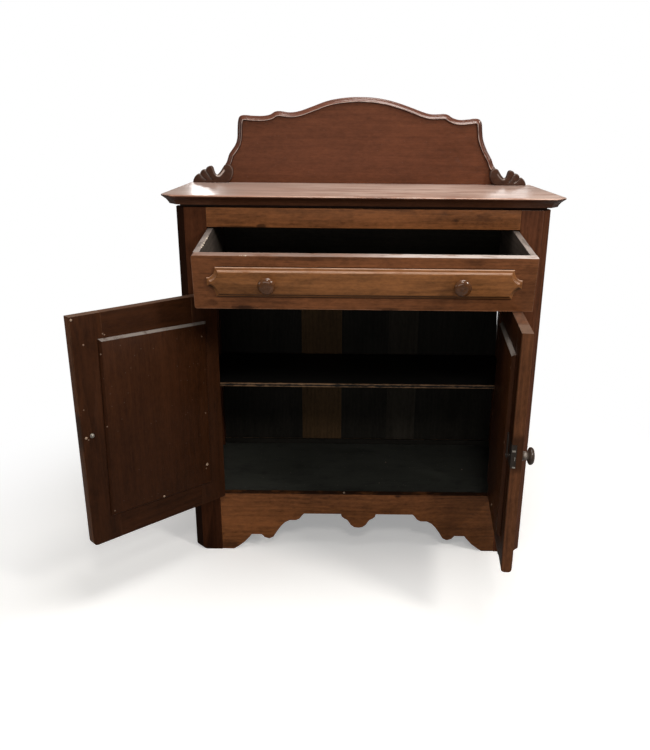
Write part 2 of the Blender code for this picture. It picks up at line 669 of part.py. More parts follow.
def make_door_panel(tag, across, through, door, mats):
    """A board planted on the door's back, whose raised field fills the opening of the frame."""
    def ring(edges, t, depth=0):
        start, end, low, high = edges
        x_start, x_end = across(start + depth, end - depth)
        low, high = low + depth, high - depth
        y = through(0, t)[1]
        return [(x_start, y, low), (x_end, y, low), (x_end, y, high), (x_start, y, high)]

    back = DOOR_THICKNESS + GAP
    rear = back + PANEL_THICKNESS
    board = (PANEL_HINGE_MARGIN, DOOR_WIDTH - PANEL_FREE_MARGIN, DOOR_BOTTOM + PANEL_BOTTOM_MARGIN,
             DOOR_TOP - PANEL_TOP_MARGIN)
    inner = STILE_WIDTH + FIELD_CLEARANCE
    field = (inner, DOOR_WIDTH - inner, DOOR_BOTTOM + BOTTOM_RAIL_WIDTH + FIELD_CLEARANCE,
             DOOR_TOP - TOP_RAIL_WIDTH - FIELD_CLEARANCE)
    rings = [ring(board, rear, PANEL_BEVEL), ring(board, rear - PANEL_BEVEL_DEPTH), ring(board, back),
             ring(field, back), ring(field, FIELD_SETBACK + FIELD_CHAMFER_DEPTH),
             ring(field, FIELD_SETBACK, FIELD_CHAMFER)]
    loft(f"{tag}_door_panel", rings, mats["door panel"], door)


def make_stud(door, stile, across, through, mats):
    """The domed stud on the back of the left door that the catch bears on."""
    x = across(0, DOOR_WIDTH - STUD_INSET)[1]
    y = through(0, DOOR_THICKNESS)[1]
    seat = GAP
    profile = [(STUD_SHANK_RADIUS, -STUD_SHANK), (STUD_SHANK_RADIUS, seat), (STUD_RADIUS, seat)]
    for k in range(1, 4):
        angle = math.pi / 2 * k / 4
        profile.append((STUD_RADIUS * math.cos(angle), seat + STUD_DOME * math.sin(angle)))
    profile = [(r, -along) for r, along in profile]
    turned("catch_stud", profile, mats["steel"], door, axis="-Y", at=(x, y, STUD_HEIGHT))
    hole = STUD_SHANK_RADIUS + GAP
    cut(stile, turned("stud_hole", [(hole, -OVERRUN), (hole, STUD_SHANK + GAP)], None, door, axis="-Y",
                      at=(x, y, STUD_HEIGHT)))


def make_catch(door, stile, across, through, mats):
    """The turning catch: a knob outside, a spindle through the stile, and a tongue inside."""
    spot = DOOR_WIDTH - CATCH_INSET
    turn = bpy.data.objects.new("catch axis", None)
    bpy.context.scene.collection.objects.link(turn)
    turn.parent = door
    turn.location = (across(0, spot)[1], HINGE_PROUD, CATCH_HEIGHT)

    free = DOOR_WIDTH - GAP
    block_x = across(DOOR_WIDTH - CATCH_BLOCK_LENGTH, free)
    block_front = DOOR_THICKNESS - CATCH_BLOCK_DEPTH
    low, high = CATCH_HEIGHT - CATCH_BLOCK_BELOW, CATCH_HEIGHT + CATCH_BLOCK_ABOVE
    block = box("catch_block", block_x, through(block_front, DOOR_THICKNESS), (low, high), mats["iron"], door)
    mortise_x = across(DOOR_WIDTH - CATCH_BLOCK_LENGTH - GAP, DOOR_WIDTH + OVERRUN)
    cut(stile, box("catch_mortise", mortise_x, through(block_front - GAP, DOOR_THICKNESS + OVERRUN),
                   (low - GAP, high + GAP), None, door))

    tongue_start = DOOR_THICKNESS + GAP + STUD_DOME + GAP + GAP
    tongue_end = tongue_start + TONGUE_THICKNESS
    half = TONGUE_WIDTH / 2
    tongue = box("catch_tongue", (-half, half), (tongue_start, tongue_end), (-half, TONGUE_LENGTH),
                 mats["steel"], turn)
    rear = tongue_end + SPINDLE_END
    join(tongue, turned("catch_spindle", [(SPINDLE_RADIUS, -rear), (SPINDLE_RADIUS, SPINDLE_IN_KNOB)],
                        mats["steel"], turn, axis="-Y"))
    bore = SPINDLE_RADIUS + GAP
    for ob in (stile, block):
        cut(ob, turned(f"spindle_bore_{ob.name}", [(bore, -rear - OVERRUN), (bore, SPINDLE_IN_KNOB + OVERRUN)],
                       None, turn, axis="-Y"))
    knob = make_knob("right_door_knob", turn, (0, -GAP, 0), 0, mats)
    cut(knob, turned("knob_socket", [(bore, -OVERRUN), (bore, SPINDLE_IN_KNOB + GAP)], None, turn, axis="-Y"))


def make_knob(name, parent, at, spigot, mats):
    """A turned wooden knob that points along -Y, with a spigot behind it where it has a length."""
    profile = [(KNOB_RADIUS * r, KNOB_LENGTH * along) for r, along in KNOB_PROFILE_SHARES]
    if spigot:
        profile = [(SPIGOT_RADIUS, -spigot), (SPIGOT_RADIUS, 0)] + profile
    return turned(name, profile, mats["knob"], parent, axis="-Y", at=at, sides=KNOB_SIDES)


def notched_outline(depth):
    """A rectangle with a hollow quarter round at each corner, drawn in by depth."""
    wide, high = PLANT_HALF_WIDTH - depth, PLANT_HALF_HEIGHT - depth
    across, up = NOTCH_ACROSS + depth, NOTCH_UP + depth
    start = math.asin(depth / across)
    end = math.acos(depth / up)
    quarter = []
    for k in range(NOTCH_STEPS + 1):
        angle = start + (end - start) * k / NOTCH_STEPS
        quarter.append((PLANT_HALF_WIDTH - across * math.sin(angle), PLANT_HALF_HEIGHT - up * math.cos(angle)))
    quarter[0] = (wide, quarter[0][1])
    quarter[-1] = (quarter[-1][0], high)
    top_right = quarter
    top_left = [(-x, z) for x, z in reversed(top_right)]
    bottom_left = [(-x, -z) for x, z in top_right]
    bottom_right = [(x, -z) for x, z in reversed(top_right)]
    return top_right + top_left + bottom_left + bottom_right


def make_drawer(mats):
    """The drawer, made level in the frame of the roller and tipped with it."""
    tip = bpy.data.objects.new("drawer tip axis", None)
    bpy.context.scene.collection.objects.link(tip)
    tip.location = (0, FRONT + ROLLER_SETBACK, ROLLER_LEVEL)
    tip.rotation_euler = (DRAWER_TIP, 0, 0)
    half = OPENING_HALF - ROLLER_END_GAP
    turned("divider_roller", [(ROLLER_RADIUS, -half), (ROLLER_RADIUS, half)], mats["roller"], tip, axis="X")

    slide = bpy.data.objects.new("drawer slide", None)
    bpy.context.scene.collection.objects.link(slide)
    slide.parent = tip
    slide.location = (0, -ROLLER_SETBACK - DRAWER_PULLED, ROLLER_RADIUS + GAP)

    wide = DRAWER_WIDTH / 2
    front = box("drawer_front", (-wide, wide), (0, DRAWER_FRONT_THICKNESS), (0, DRAWER_HEIGHT), mats["front"],
                slide)
    start = DRAWER_FRONT_THICKNESS + GAP
    outer = wide - DRAWER_SIDE_INSET
    inner = outer - DRAWER_SIDE_THICKNESS
    for side in (-1, 1):
        box(f"drawer_side_{name_of(side)}", (side * inner, side * outer), (start, DRAWER_DEPTH),
            (0, DRAWER_HEIGHT), mats["drawer wood"], slide)
    between = inner - GAP
    floor_top = DRAWER_BOTTOM_RISE + DRAWER_BOTTOM_THICKNESS
    box("drawer_bottom", (-between, between), (start, DRAWER_DEPTH), (DRAWER_BOTTOM_RISE, floor_top),
        mats["inside"], slide)
    box("drawer_back", (-between, between), (DRAWER_DEPTH - DRAWER_BACK_THICKNESS, DRAWER_DEPTH),
        (floor_top + GAP, DRAWER_HEIGHT - DRAWER_BACK_DROP), mats["inside"], slide)

    face = -GAP - PLANT_THICKNESS
    rings = [[(x, -GAP, z + PLANT_RISE) for x, z in notched_outline(0)],
             [(x, face + PLANT_BEVEL_DEPTH, z + PLANT_RISE) for x, z in notched_outline(0)],
             [(x, face, z + PLANT_RISE) for x, z in notched_outline(PLANT_BEVEL)]]
    plant = loft("drawer_front_panel", rings, mats["front"], slide)

    for side in (-1, 1):
        at = (side * KNOB_SPREAD, face - GAP, KNOB_RISE)
        make_knob(f"drawer_knob_{name_of(side)}", slide, at, SPIGOT_LENGTH, mats)
        hole = SPIGOT_RADIUS + GAP
        for ob in (front, plant):
            bore = [(hole, -SPIGOT_LENGTH - GAP), (hole, OVERRUN)]
            cut(ob, turned(f"spigot_bore_{name_of(side)}_{ob.name}", bore, None, slide, axis="-Y", at=at))


def make_materials():
    back_tones = {1: (0.012, 0.010, 0.008), 2: (0.050, 0.036, 0.022), 3: (0.014, 0.012, 0.009),
                  4: (0.026, 0.020, 0.014), 5: (0.012, 0.010, 0.008)}
    mats = {
        "top": material("top board finish", (0.36, 0.20, 0.15), 0.25),
        "splash": material("splashback finish", (0.13, 0.045, 0.028), 0.40),
        "carving": material("carved ear finish", (0.11, 0.040, 0.026), 0.40),
        "front": material("front finish", (0.20, 0.085, 0.035), 0.45),
        "post": material("post finish", (0.13, 0.048, 0.025), 0.45),
        "door": material("door finish", (0.065, 0.022, 0.012), 0.50),
        "door panel": material("door panel finish", (0.070, 0.026, 0.013), 0.50),
        "knob": material("knob finish", (0.11, 0.045, 0.025), 0.35),
        "drawer wood": material("bare drawer wood", (0.30, 0.24, 0.20), 0.60),
        "shelf": material("shelf wood", (0.11, 0.060, 0.035), 0.70),
        "inside": material("unfinished inside wood", (0.020, 0.016, 0.012), 0.80),
        "floor": material("grey bottom board", (0.022, 0.024, 0.021), 0.80),
        "dark wood": material("dark wood", (0.018, 0.012, 0.009), 0.75),
        "roller": material("roller hardwood", (0.16, 0.10, 0.06), 0.50),
        "brass": material("aged brass", (0.45, 0.33, 0.16), 0.45, 1.0),
        "steel": material("worn steel", (0.55, 0.55, 0.52), 0.35, 1.0),
        "iron": material("dark iron", (0.10, 0.085, 0.07), 0.60, 1.0),
    }
    for number, tone in back_tones.items():
        mats[f"back {number}"] = material(f"back board {number}", tone, 0.85)
    return mats


def main():
    clear_scene()
    mats = make_materials()
    make_top_board(mats)
    make_splashback(mats)
    make_back(mats)
    make_front_rails(mats)
    make_floor_pieces(mats)
    for side in (-1, 1):
        make_ear(side, mats)
        make_sides(side, mats)
        make_runner(side, mats)
        post = make_front_post(side, mats)
        door, stile, across, through = make_door(side, post, mats)
        if side < 0:
            make_stud(door, stile, across, through, mats)
        else:
            make_catch(door, stile, across, through, mats)
    make_drawer(mats)


main()
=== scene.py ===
"""A commode cabinet in old reddish hardwood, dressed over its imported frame.

The drawer is pulled out and droops, both framed doors stand open, and a shaped splashback with
carved ears rises behind the top board. Sizes are in metres, with +Z up and the wall line at Y = 0.
"""
import json
import math
import zlib

import bmesh
import bpy
import numpy as np
from mathutils import Matrix, Vector, geometry


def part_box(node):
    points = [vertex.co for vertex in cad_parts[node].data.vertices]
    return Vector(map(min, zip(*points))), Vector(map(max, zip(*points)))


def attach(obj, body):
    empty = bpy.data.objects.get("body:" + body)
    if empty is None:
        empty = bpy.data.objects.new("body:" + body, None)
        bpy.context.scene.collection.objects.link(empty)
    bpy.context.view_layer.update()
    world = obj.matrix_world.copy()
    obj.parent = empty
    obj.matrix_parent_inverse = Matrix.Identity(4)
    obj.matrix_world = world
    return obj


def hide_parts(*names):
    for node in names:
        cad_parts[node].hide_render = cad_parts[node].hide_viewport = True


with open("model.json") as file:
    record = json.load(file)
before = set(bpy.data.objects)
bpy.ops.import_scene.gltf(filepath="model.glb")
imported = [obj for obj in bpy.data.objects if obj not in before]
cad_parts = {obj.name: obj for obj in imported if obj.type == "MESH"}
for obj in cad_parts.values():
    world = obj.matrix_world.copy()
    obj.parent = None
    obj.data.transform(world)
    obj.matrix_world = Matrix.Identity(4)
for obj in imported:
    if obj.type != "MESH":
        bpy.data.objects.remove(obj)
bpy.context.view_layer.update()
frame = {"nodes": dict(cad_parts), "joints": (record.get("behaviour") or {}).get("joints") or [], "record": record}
NODES = frame["nodes"]
JOINTS = {row["name"]: row for row in frame["joints"]}
BODY_OF = {node: body for body, nodes in frame["record"]["behaviour"]["bodies"].items() for node in nodes}

bl_info = {
    "name": "Commode cabinet",
    "version": (1, 0, 0),
    "blender": (4, 5, 0),
    "location": "View3D > Sidebar > Cabinet",
    "description": "Builds an old hardwood commode cabinet with its drawer and doors open",
    "category": "Add Mesh",
}


def tone(red, green, blue):
    """A colour as one reads it on a screen, 0 to 255, as linear values."""
    return tuple((c / 255 / 12.92) if c <= 10 else ((c / 255 + 0.055) / 1.055) ** 2.4 for c in (red, green, blue))


def shade(colour, factor):
    return tuple(min(1.0, c * factor) for c in colour)


# ---------------------------------------------------------------- places of the moving parts

DRAWER_FACE_TO_PIVOT = 0.0045
DRAWER_OVER_PIVOT = 0.0033
DOOR_PROUD = 0.0040
DOOR_EDGE = 0.00075
DOOR_WAY = {"left_door": 1, "right_door": -1}


def hinge_place(name):
    """The rest place of a door, shut along X from its axis, with its outer face towards -Y."""
    joint = JOINTS[name]
    x, y, _ = joint["pos_m"]
    turn = -joint["axis"][2] * math.radians(joint["range_deg"][0])
    return Matrix.Translation((x, y, 0)) @ Matrix.Rotation(turn, 4, "Z")


def drawer_place():
    """The rest place of the drawer: its outer face at Y = 0 and its underside at Z = 0."""
    joint = JOINTS["drawer_tip"]
    pulled = -JOINTS["drawer_slide"]["range_m"][0]
    turn = Matrix.Rotation(-math.radians(joint["range_deg"][0]), 4, "X")
    inset_place = Matrix.Translation((0, -DRAWER_FACE_TO_PIVOT - pulled, DRAWER_OVER_PIVOT))
    return Matrix.Translation(joint["pos_m"]) @ turn @ inset_place


PLACES = {
    "carcass": Matrix.Identity(4),
    "drawer_tip_roller": Matrix.Identity(4),
    "drawer": drawer_place(),
    "left_door": hinge_place("left_door_hinge"),
    "right_door": hinge_place("right_door_hinge"),
}
PLACES["catch"] = Matrix.Translation(JOINTS["catch_turn"]["pos_m"]) @ PLACES["right_door"].to_3x3().to_4x4()


def door_point(body, across, through, z):
    """A point in a door's own place: across from its hinge edge, through from its outer face."""
    return (DOOR_WAY[body] * (across + DOOR_EDGE), through + DOOR_PROUD, z)


def own_box(node):
    """The lowest and highest corners of a CAD node in its body's own place."""
    away = PLACES[BODY_OF[node]].inverted()
    spots = np.array([away @ v.co for v in NODES[node].data.vertices])
    return Vector(spots.min(0)), Vector(spots.max(0))


# ---------------------------------------------------------------- settings that a user would change

def length_property(name, description, value, least, most):
    return bpy.props.FloatProperty(name=name, description=description, default=value, min=least, max=most,
                                   unit="LENGTH")


def colour_property(name, description, value):
    return bpy.props.FloatVectorProperty(name=name, description=description, default=value, size=3,
                                         min=0.0, max=1.0, subtype="COLOR")


class CabinetSizes(bpy.types.PropertyGroup):
    edge_round: length_property("Edge rounding", "How far handling has rounded the boards' edges",
                                0.0014, 0.0002, 0.004)
    bead_width: length_property("Bead width", "Width of the moulded band along the splashback's edge",
                                0.0145, 0.006, 0.020)
    bead_proud: length_property("Bead height", "How far the moulded band stands before the splashback",
                                0.0062, 0.002, 0.0085)
    carving_depth: length_property("Carving depth", "Depth of the cuts between the leaves of the ears",
                                   0.0060, 0.001, 0.012)
    board_tilt: bpy.props.FloatProperty(
        name="Board tilt", description="How far the left door's planted board sits out of true",
        default=math.radians(1.4), min=0.0, max=0.05, subtype="ANGLE")
    nail_radius: length_property("Nail head radius", "Radius of the nail heads on the back and sides",
                                 0.0026, 0.001, 0.006)
    screw_radius: length_property("Screw head radius", "Radius of the screw heads in the hinges",
                                  0.0028, 0.001, 0.005)
    knob_rings: bpy.props.IntProperty(
        name="Knob sides", description="Number of sides round each turned knob", default=48, min=16, max=96)


class CabinetColours(bpy.types.PropertyGroup):
    # The top board's tone is lighter than its wood: it holds painted sheen
    top: colour_property("Top board", "Worn polish of the top board", tone(150, 106, 86))
    splash: colour_property("Splashback", "Red-brown polish of the splashback", tone(92, 53, 34))
    front: colour_property("Front", "Orange-brown varnish of the rails and the apron", tone(121, 74, 41))
    plank: colour_property("Drawer panel", "Yellow-brown figured wood planted on the drawer", tone(129, 83, 47))
    post: colour_property("Posts", "Brown varnish of the posts and sides", tone(86, 49, 30))
    door: colour_property("Doors", "Dark stain inside the doors", tone(53, 28, 13))
    dust: colour_property("Dust", "Pale dust and rubbed wood on edges that face up", tone(168, 150, 140))
    brass: colour_property("Brass", "Dulled brass of the hinges", tone(150, 118, 66))


# ---------------------------------------------------------------- node trees

class Level:
    """A number that varies from place to place: Python sums on it add Math nodes."""

    def __init__(self, tree, socket):
        self.tree = tree
        self.socket = socket

    def __add__(self, other):
        return self.tree.maths("ADD", self, other)

    def __sub__(self, other):
        return self.tree.maths("SUBTRACT", self, other)

    def __rsub__(self, other):
        return self.tree.maths("SUBTRACT", other, self)

    def __mul__(self, other):
        return self.tree.maths("MULTIPLY", self, other)

    def __pow__(self, other):
        return self.tree.maths("POWER", self, other)

    def __radd__(self, other):
        return self.tree.maths("ADD", other, self)

    def __rmul__(self, other):
        return self.tree.maths("MULTIPLY", other, self)


class Tree:
    """A node tree under construction, of a material, the world or a geometry group."""

    def __init__(self, tree):
        self.nodes = tree.nodes
        self.links = tree.links

    def node(self, kind, settings=None, sockets=None):
        """Adds a node: its settings first, then the values or links of its sockets."""
        made = self.nodes.new(kind)
        for key, value in (settings or {}).items():
            if key == "stops":
                ramp = made.color_ramp
                while len(ramp.elements) < len(value):
                    ramp.elements.new(0.5)
                for stop, (place, colour) in zip(ramp.elements, value):
                    stop.position = place
                    stop.color = (*colour, 1.0)
            else:
                setattr(made, key, value)
        for key, value in (sockets or {}).items():
            self.plug(made.inputs[key], value)
        return made

    def plug(self, socket, value):
        if isinstance(value, Level):
            self.links.new(value.socket, socket)
        elif isinstance(value, bpy.types.NodeSocket):
            self.links.new(value, socket)
        elif socket.type == "RGBA" and len(value) == 3:
            socket.default_value = (*value, 1.0)
        else:
            socket.default_value = value

    def maths(self, operation, first, second=0.0):
        return Level(self, self.node("ShaderNodeMath", {"operation": operation}, {0: first, 1: second}).outputs[0])


class Finish(Tree):
    """A material under construction."""

    def __init__(self, name):
        self.material = bpy.data.materials.new(name)
        self.material.use_nodes = True
        super().__init__(self.material.node_tree)
        self.shader = self.nodes["Principled BSDF"]

    def spot(self):
        return self.node("ShaderNodeTexCoord").outputs["Object"]

    def facing(self):
        """The parts of the direction that the surface faces."""
        return self.parts(self.node("ShaderNodeNewGeometry").outputs["Normal"])

    def vector(self, operation, first, second):
        return self.node("ShaderNodeVectorMath", {"operation": operation}, {0: first, 1: second}).outputs[0]

    def read(self, name, output="Vector"):
        return self.node("ShaderNodeAttribute", {"attribute_name": name}).outputs[output]

    def parts(self, vector):
        return [Level(self, socket) for socket in self.node("ShaderNodeSeparateXYZ", None, {0: vector}).outputs]

    def size_of(self, level):
        return self.maths("ABSOLUTE", level)

    def noise(self, vector, stretch, detail=2.0, roughness=0.5):
        made = self.node("ShaderNodeTexNoise", None, {"Vector": self.vector("MULTIPLY", vector, stretch),
                                                      "Scale": 1.0, "Detail": detail, "Roughness": roughness})
        return Level(self, made.outputs["Fac"])

    def cells(self, vector, stretch):
        """The distance to the nearest of scattered points."""
        made = self.node("ShaderNodeTexVoronoi", None, {"Vector": self.vector("MULTIPLY", vector, stretch),
                                                        "Scale": 1.0})
        return Level(self, made.outputs["Distance"])

    def step(self, value, low, high):
        """0 below low and 1 above high, or the other way round where low is the larger."""
        made = self.node("ShaderNodeMapRange", {"interpolation_type": "SMOOTHSTEP"},
                         {"Value": value, "From Min": min(low, high), "From Max": max(low, high)})
        level = Level(self, made.outputs[0])
        return level if low < high else 1 - level

    def ramp(self, level, stops):
        return self.node("ShaderNodeValToRGB", {"stops": stops}, {0: level}).outputs[0]

    def mix(self, level, first, second):
        """Colour first where the level is 0 and second where it is 1."""
        return self.node("ShaderNodeMix", {"data_type": "RGBA", "clamp_factor": True},
                         {0: level, 6: first, 7: second}).outputs[2]

    def bump(self, height, strength, distance):
        return self.node("ShaderNodeBump", None,
                         {"Height": height, "Strength": strength, "Distance": distance}).outputs[0]

    def finish(self, **sockets):
        for key, value in sockets.items():
            self.plug(self.shader.inputs[key.replace("_", " ")], value)
        return self.material


# ---------------------------------------------------------------- finishes

def wood(name, base, *, dark=0.55, light=1.45, ring=0.30, spacing=0.011, bow=0.10, fibre=0.42, streak=0.38,
         blotch=0.35, mottle=0.0, grit=1.0, relief=0.35, gloss=0.42, gloss_spread=1.0, specular=0.16, coat=0.0,
         sheen=0.0, knots=0.0, haze_and_reflection=None, inside=None, wear=0.45, wear_width=0.0022, wear_colour=None, soot=0.0,
         foot=0.0, facet=0.0, under=0.0, sides=0.0, worn=None, crease_shade=None, blots=(), smudge=None, dust=0.0,
         dust_colour=(0.30, 0.25, 0.22), dust_and_light_along=None, specks=0.0):
    """Old wood: growth rings, fibres, pores and stains, and over them the marks of use and the painted light and
    shade that are asked for.

    A mark is left out at 0 or None. haze is the tone and share of rubbed polish and of a painted pale reflection,
    and inside the tone and depth of an inner face. foot darkens what is near the floor, and facet, under and
    sides are painted shade on faces turned to the left front, downwards or away from up.
    crease is painted shade along the edges of a planted panel, blots are darker patches at a place with a
    reach, paler where the amount is negative, one of them a painted shadow, smudge is dirt from fingers on a
    free edge, and dust_and_light_along says where along the board the pale dust thins out, as painted light: fullest
    where a rim catches the light and thinnest where it lies in shade."""
    f = Finish(name)
    grain = f.read("grain")
    half = f.parts(f.read("half"))
    seed = Level(f, f.read("seed", "Fac"))
    shift = f.node("ShaderNodeCombineXYZ", None, {0: seed * 1.37, 1: seed * 0.83, 2: seed * 2.11}).outputs[0]
    spot = f.vector("ADD", grain, shift)
    x, y, z = f.parts(grain)

    # Rings about a heart that wanders beside the board, and the finer figure over them
    slow = f.noise(spot, (1.7, 5, 5)) - 0.5
    quick = f.noise(spot, (9, 60, 60)) - 0.5
    heart_y = y + slow * bow
    heart_z = z + 0.035 + slow * (bow * 0.6)
    radius = f.maths("SQRT", heart_y * heart_y + heart_z * heart_z)
    rings = f.maths("SINE", radius * (2 * math.pi / spacing) + quick * 5.0) * 0.5 + 0.5
    fibres = f.noise(spot, (10, 300, 300), 4, 0.62)
    streaks = f.noise(spot, (3.0, 75, 75), 3, 0.55)
    stains = f.noise(spot, (4.5, 9, 9), 3, 0.6)
    level = (rings - 0.5) * ring + (fibres - 0.5) * (fibre * 2) + (streaks - 0.5) * (streak * 2) \
        + (stains - 0.5) * (blotch * 2) + 0.5
    level = level + (f.noise(spot, (70, 170, 170), 3, 0.65) - 0.5) * grit
    if mottle:
        level = level + (f.noise(spot, (26, 60, 60), 5, 0.72) - 0.5) * (mottle * 2)
    colour = f.ramp(level, [(0.05, shade(base, dark)), (0.5, base), (0.95, shade(base, light))])
    rough = gloss + ((fibres - 0.5) * 0.18 + (stains - 0.5) * 0.16) * gloss_spread

    def tinged(mask, factor):
        """The colour so far, in a darker or lighter tone of the wood where the mask is."""
        return f.mix(mask, colour, shade(base, factor))

    pores = f.step(f.noise(spot, (55, 1300, 1300), 1), 0.60, 0.74)
    colour = tinged(pores * 0.40, 0.25)
    if knots:
        colour = tinged(f.step(f.cells(spot, (9, 16, 16)), 0.11, 0.03) * knots, 0.12)
    # Pale streaks of rubbed polish and of a painted reflection, fuller from the board's middle to its right end
    if haze_and_reflection:
        haze_and_reflection_colour, amount = haze_and_reflection
        rubbed = f.step(f.noise(spot, (4.5, 22, 22), 8, 0.74) * 0.85 + streaks * 0.15, 0.37, 0.61)
        colour = f.mix(rubbed * amount * (0.36 + f.step(x, -0.30, 0.02) * 0.64), colour, haze_and_reflection_colour)
    if inside:
        inner_tone, inner_depth = inside
        inner = f.ramp(level, [(0.05, shade(inner_tone, 0.62)), (0.5, inner_tone), (0.95, shade(inner_tone, 1.35))])
        colour = f.mix(f.step(half[2] - z, inner_depth * 1.6, inner_depth), colour, inner)

    # The second smallest distance to a pair of faces is the distance to the nearest edge.
    gaps = [reach - f.size_of(part) for reach, part in zip(half, (x, y, z))]
    near = f.maths("MAXIMUM", f.maths("MINIMUM", gaps[0], gaps[1]),
                   f.maths("MINIMUM", f.maths("MAXIMUM", gaps[0], gaps[1]), gaps[2]))
    ragged = near + (f.noise(spot, (40, 90, 90), 3, 0.65) - 0.5) * (wear_width * 2.4)
    colour = f.mix(f.step(ragged, wear_width, wear_width * 0.1) * wear, colour, wear_colour or shade(base, 1.9))
    colour = tinged(f.step(gaps[0], 0.0016, 0.0006) * 0.35, 0.4)

    if soot:
        colour = tinged(f.step(f.noise(spot, (6, 14, 14), 4, 0.7), 0.45, 0.72) * soot, 0.30)
    if foot:
        colour = tinged(f.step(f.parts(f.spot())[2], 0.42, 0.06) * foot, 0.22)
    # Painted shade on faces turned to the left front, such as the left post's canted facet
    if facet:
        sideways = f.facing()[0]
        colour = tinged(f.step(sideways, -0.45, -0.60) * f.step(sideways, -0.92, -0.84) * facet, 0.12)
    # Painted shade on faces that turn downwards
    if under:
        colour = tinged(f.step(f.facing()[2], -0.30, -0.50) * under, 0.15)
    # Painted shade on faces that do not face up, such as the bead's sides
    if sides:
        colour = tinged(f.step(f.facing()[2], 0.30, -0.05) * sides, 0.30)
    # A pale tone where the worn share is marked: rubbed wear, and painted highlights on the bead's arris, the ears'
    # slots and the old knob's neck
    if worn:
        worn_and_highlight_tone, worn_and_highlight_share = worn
        patchy = 0.35 + f.step(f.noise(spot, (22, 30, 30), 3), 0.42, 0.60) * 0.65
        colour = f.mix(Level(f, f.read("worn", "Fac")) * patchy * worn_and_highlight_share, colour, worn_and_highlight_tone)
    # Painted shade in a thin line along the top and bottom edges of the planted panel
    if crease_shade:
        wide, high, offset, width = crease_shade
        outside = f.size_of(f.size_of(y - offset) - high)
        along = f.step(f.size_of(x), wide, wide - 0.004)
        colour = tinged(f.step(outside, width, width * 0.2) * along * 0.8, 0.15)
    for across, up, wide, high, amount in blots:
        far = f.maths("SQRT", ((x - across) * (1 / wide)) ** 2 + ((y - up) * (1 / high)) ** 2)
        ragged = far + (f.noise(spot, (45, 80, 80), 4, 0.7) - 0.5) * 1.5
        colour = tinged(f.step(ragged, 1.15, 0.55) * abs(amount), 0.18 if amount > 0 else 1.9)
    if smudge:
        middle, reach, amount = smudge
        edge = f.size_of(x - middle) + (f.noise(spot, (20, 30, 30), 4, 0.7) - 0.5) * 0.030
        colour = tinged(f.step(edge, reach, reach * 0.6) * f.step(gaps[1], 0.0045, 0.0010) * amount, 0.22)
    if dust:
        settled = f.step(f.facing()[2], 0.25, 0.75) * f.step(f.noise(spot, (16, 34, 34), 4, 0.7), 0.22, 0.52)
        # Painted light: the pale dust is fullest at the end of a rim that catches the light and thins where the rim
        # lies in shade
        if dust_and_light_along:
            start, end, least = dust_and_light_along
            settled = settled * (least + f.step(x, start, end) * (1 - least))
        colour = f.mix(settled * dust, colour, dust_colour)
        rough = rough + settled * 0.25
    if specks:
        colour = f.mix(f.step(f.cells(spot, (60, 60, 60)), 0.09, 0.05) * specks, colour, (0.42, 0.36, 0.30))

    height = fibres * 0.35 + rings * 0.12 - pores * 0.8 + stains * 0.2
    return f.finish(Base_Color=colour, Roughness=rough, Specular_IOR_Level=specular, Coat_Weight=coat,
                    Coat_Roughness=0.12, Sheen_Weight=sheen, Sheen_Roughness=0.35,
                    Sheen_Tint=(1.0, 0.88, 0.82, 1.0), Normal=f.bump(height, relief, 0.0006))


def metal(name, base, *, tarnish, gloss=0.38, amount=0.6, scale=90.0, metallic=0.9):
    """Old metal: tarnish in patches, fine scratches and dull spots."""
    f = Finish(name)
    spot = f.spot()
    patches = f.noise(spot, (scale, scale, scale), 4, 0.65)
    scratches = f.noise(spot, (scale * 14, scale * 2, scale * 14), 2)
    dull = f.step(patches + (scratches - 0.5) * 0.3, 0.38, 0.66)
    return f.finish(Base_Color=f.mix(dull * amount, base, tarnish), Metallic=metallic - dull * 0.35,
                    Roughness=gloss + dull * 0.30 + (scratches - 0.5) * 0.2,
                    Normal=f.bump(patches + scratches * 0.5, 0.25, 0.0004))


def putty(name, base):
    """Pale filler and bare chips."""
    f = Finish(name)
    lumps = f.noise(f.spot(), (500, 500, 500), 3, 0.6)
    return f.finish(Base_Color=f.ramp(lumps, [(0.25, shade(base, 0.5)), (0.6, base), (0.8, shade(base, 1.3))]),
                    Roughness=0.55 + lumps * 0.3, Normal=f.bump(lumps, 0.5, 0.0004))


# Darker patches at (along, up, reach along, reach up, amount) from a board's middle; a negative amount is paler
FRIEZE_BLOTS = ((-0.310, -0.0225, 0.060, 0.0040, 0.6), (-0.247, -0.0205, 0.014, 0.0060, 0.8),
                (0.060, 0.0225, 0.090, 0.0030, 0.5), (0.290, 0.010, 0.020, 0.0050, 0.35))
# On the apron, the first is the painted shadow of the open right door over the apron's right end
APRON_STAINS_AND_DOOR_SHADOW = ((0.335, 0.0, 0.150, 0.30, 0.42), (-0.330, 0.030, 0.090, 0.060, -0.20),
               (-0.120, 0.084, 0.030, 0.0040, 0.5), (0.085, 0.040, 0.030, 0.0080, 0.3),
               (-0.370, -0.070, 0.040, 0.012, 0.4))
DRAWER_BLOTS = ((-0.266, -0.0580, 0.028, 0.0055, 0.85), (-0.338, -0.046, 0.014, 0.009, 0.35),
                (-0.120, 0.056, 0.110, 0.0060, 0.35), (0.240, 0.052, 0.026, 0.010, 0.35),
                (0.365, 0.0, 0.030, 0.060, 0.22), (0.060, -0.0585, 0.030, 0.0030, 0.6))
FLOOR_BLOTS = ((-0.180, -0.100, 0.030, 0.016, 0.9), (-0.240, -0.085, 0.018, 0.010, 0.6),
               (0.030, 0.010, 0.170, 0.060, -0.30), (-0.100, 0.070, 0.200, 0.030, -0.25),
               (0.200, -0.060, 0.080, 0.050, -0.25))
MATERIALS = {}


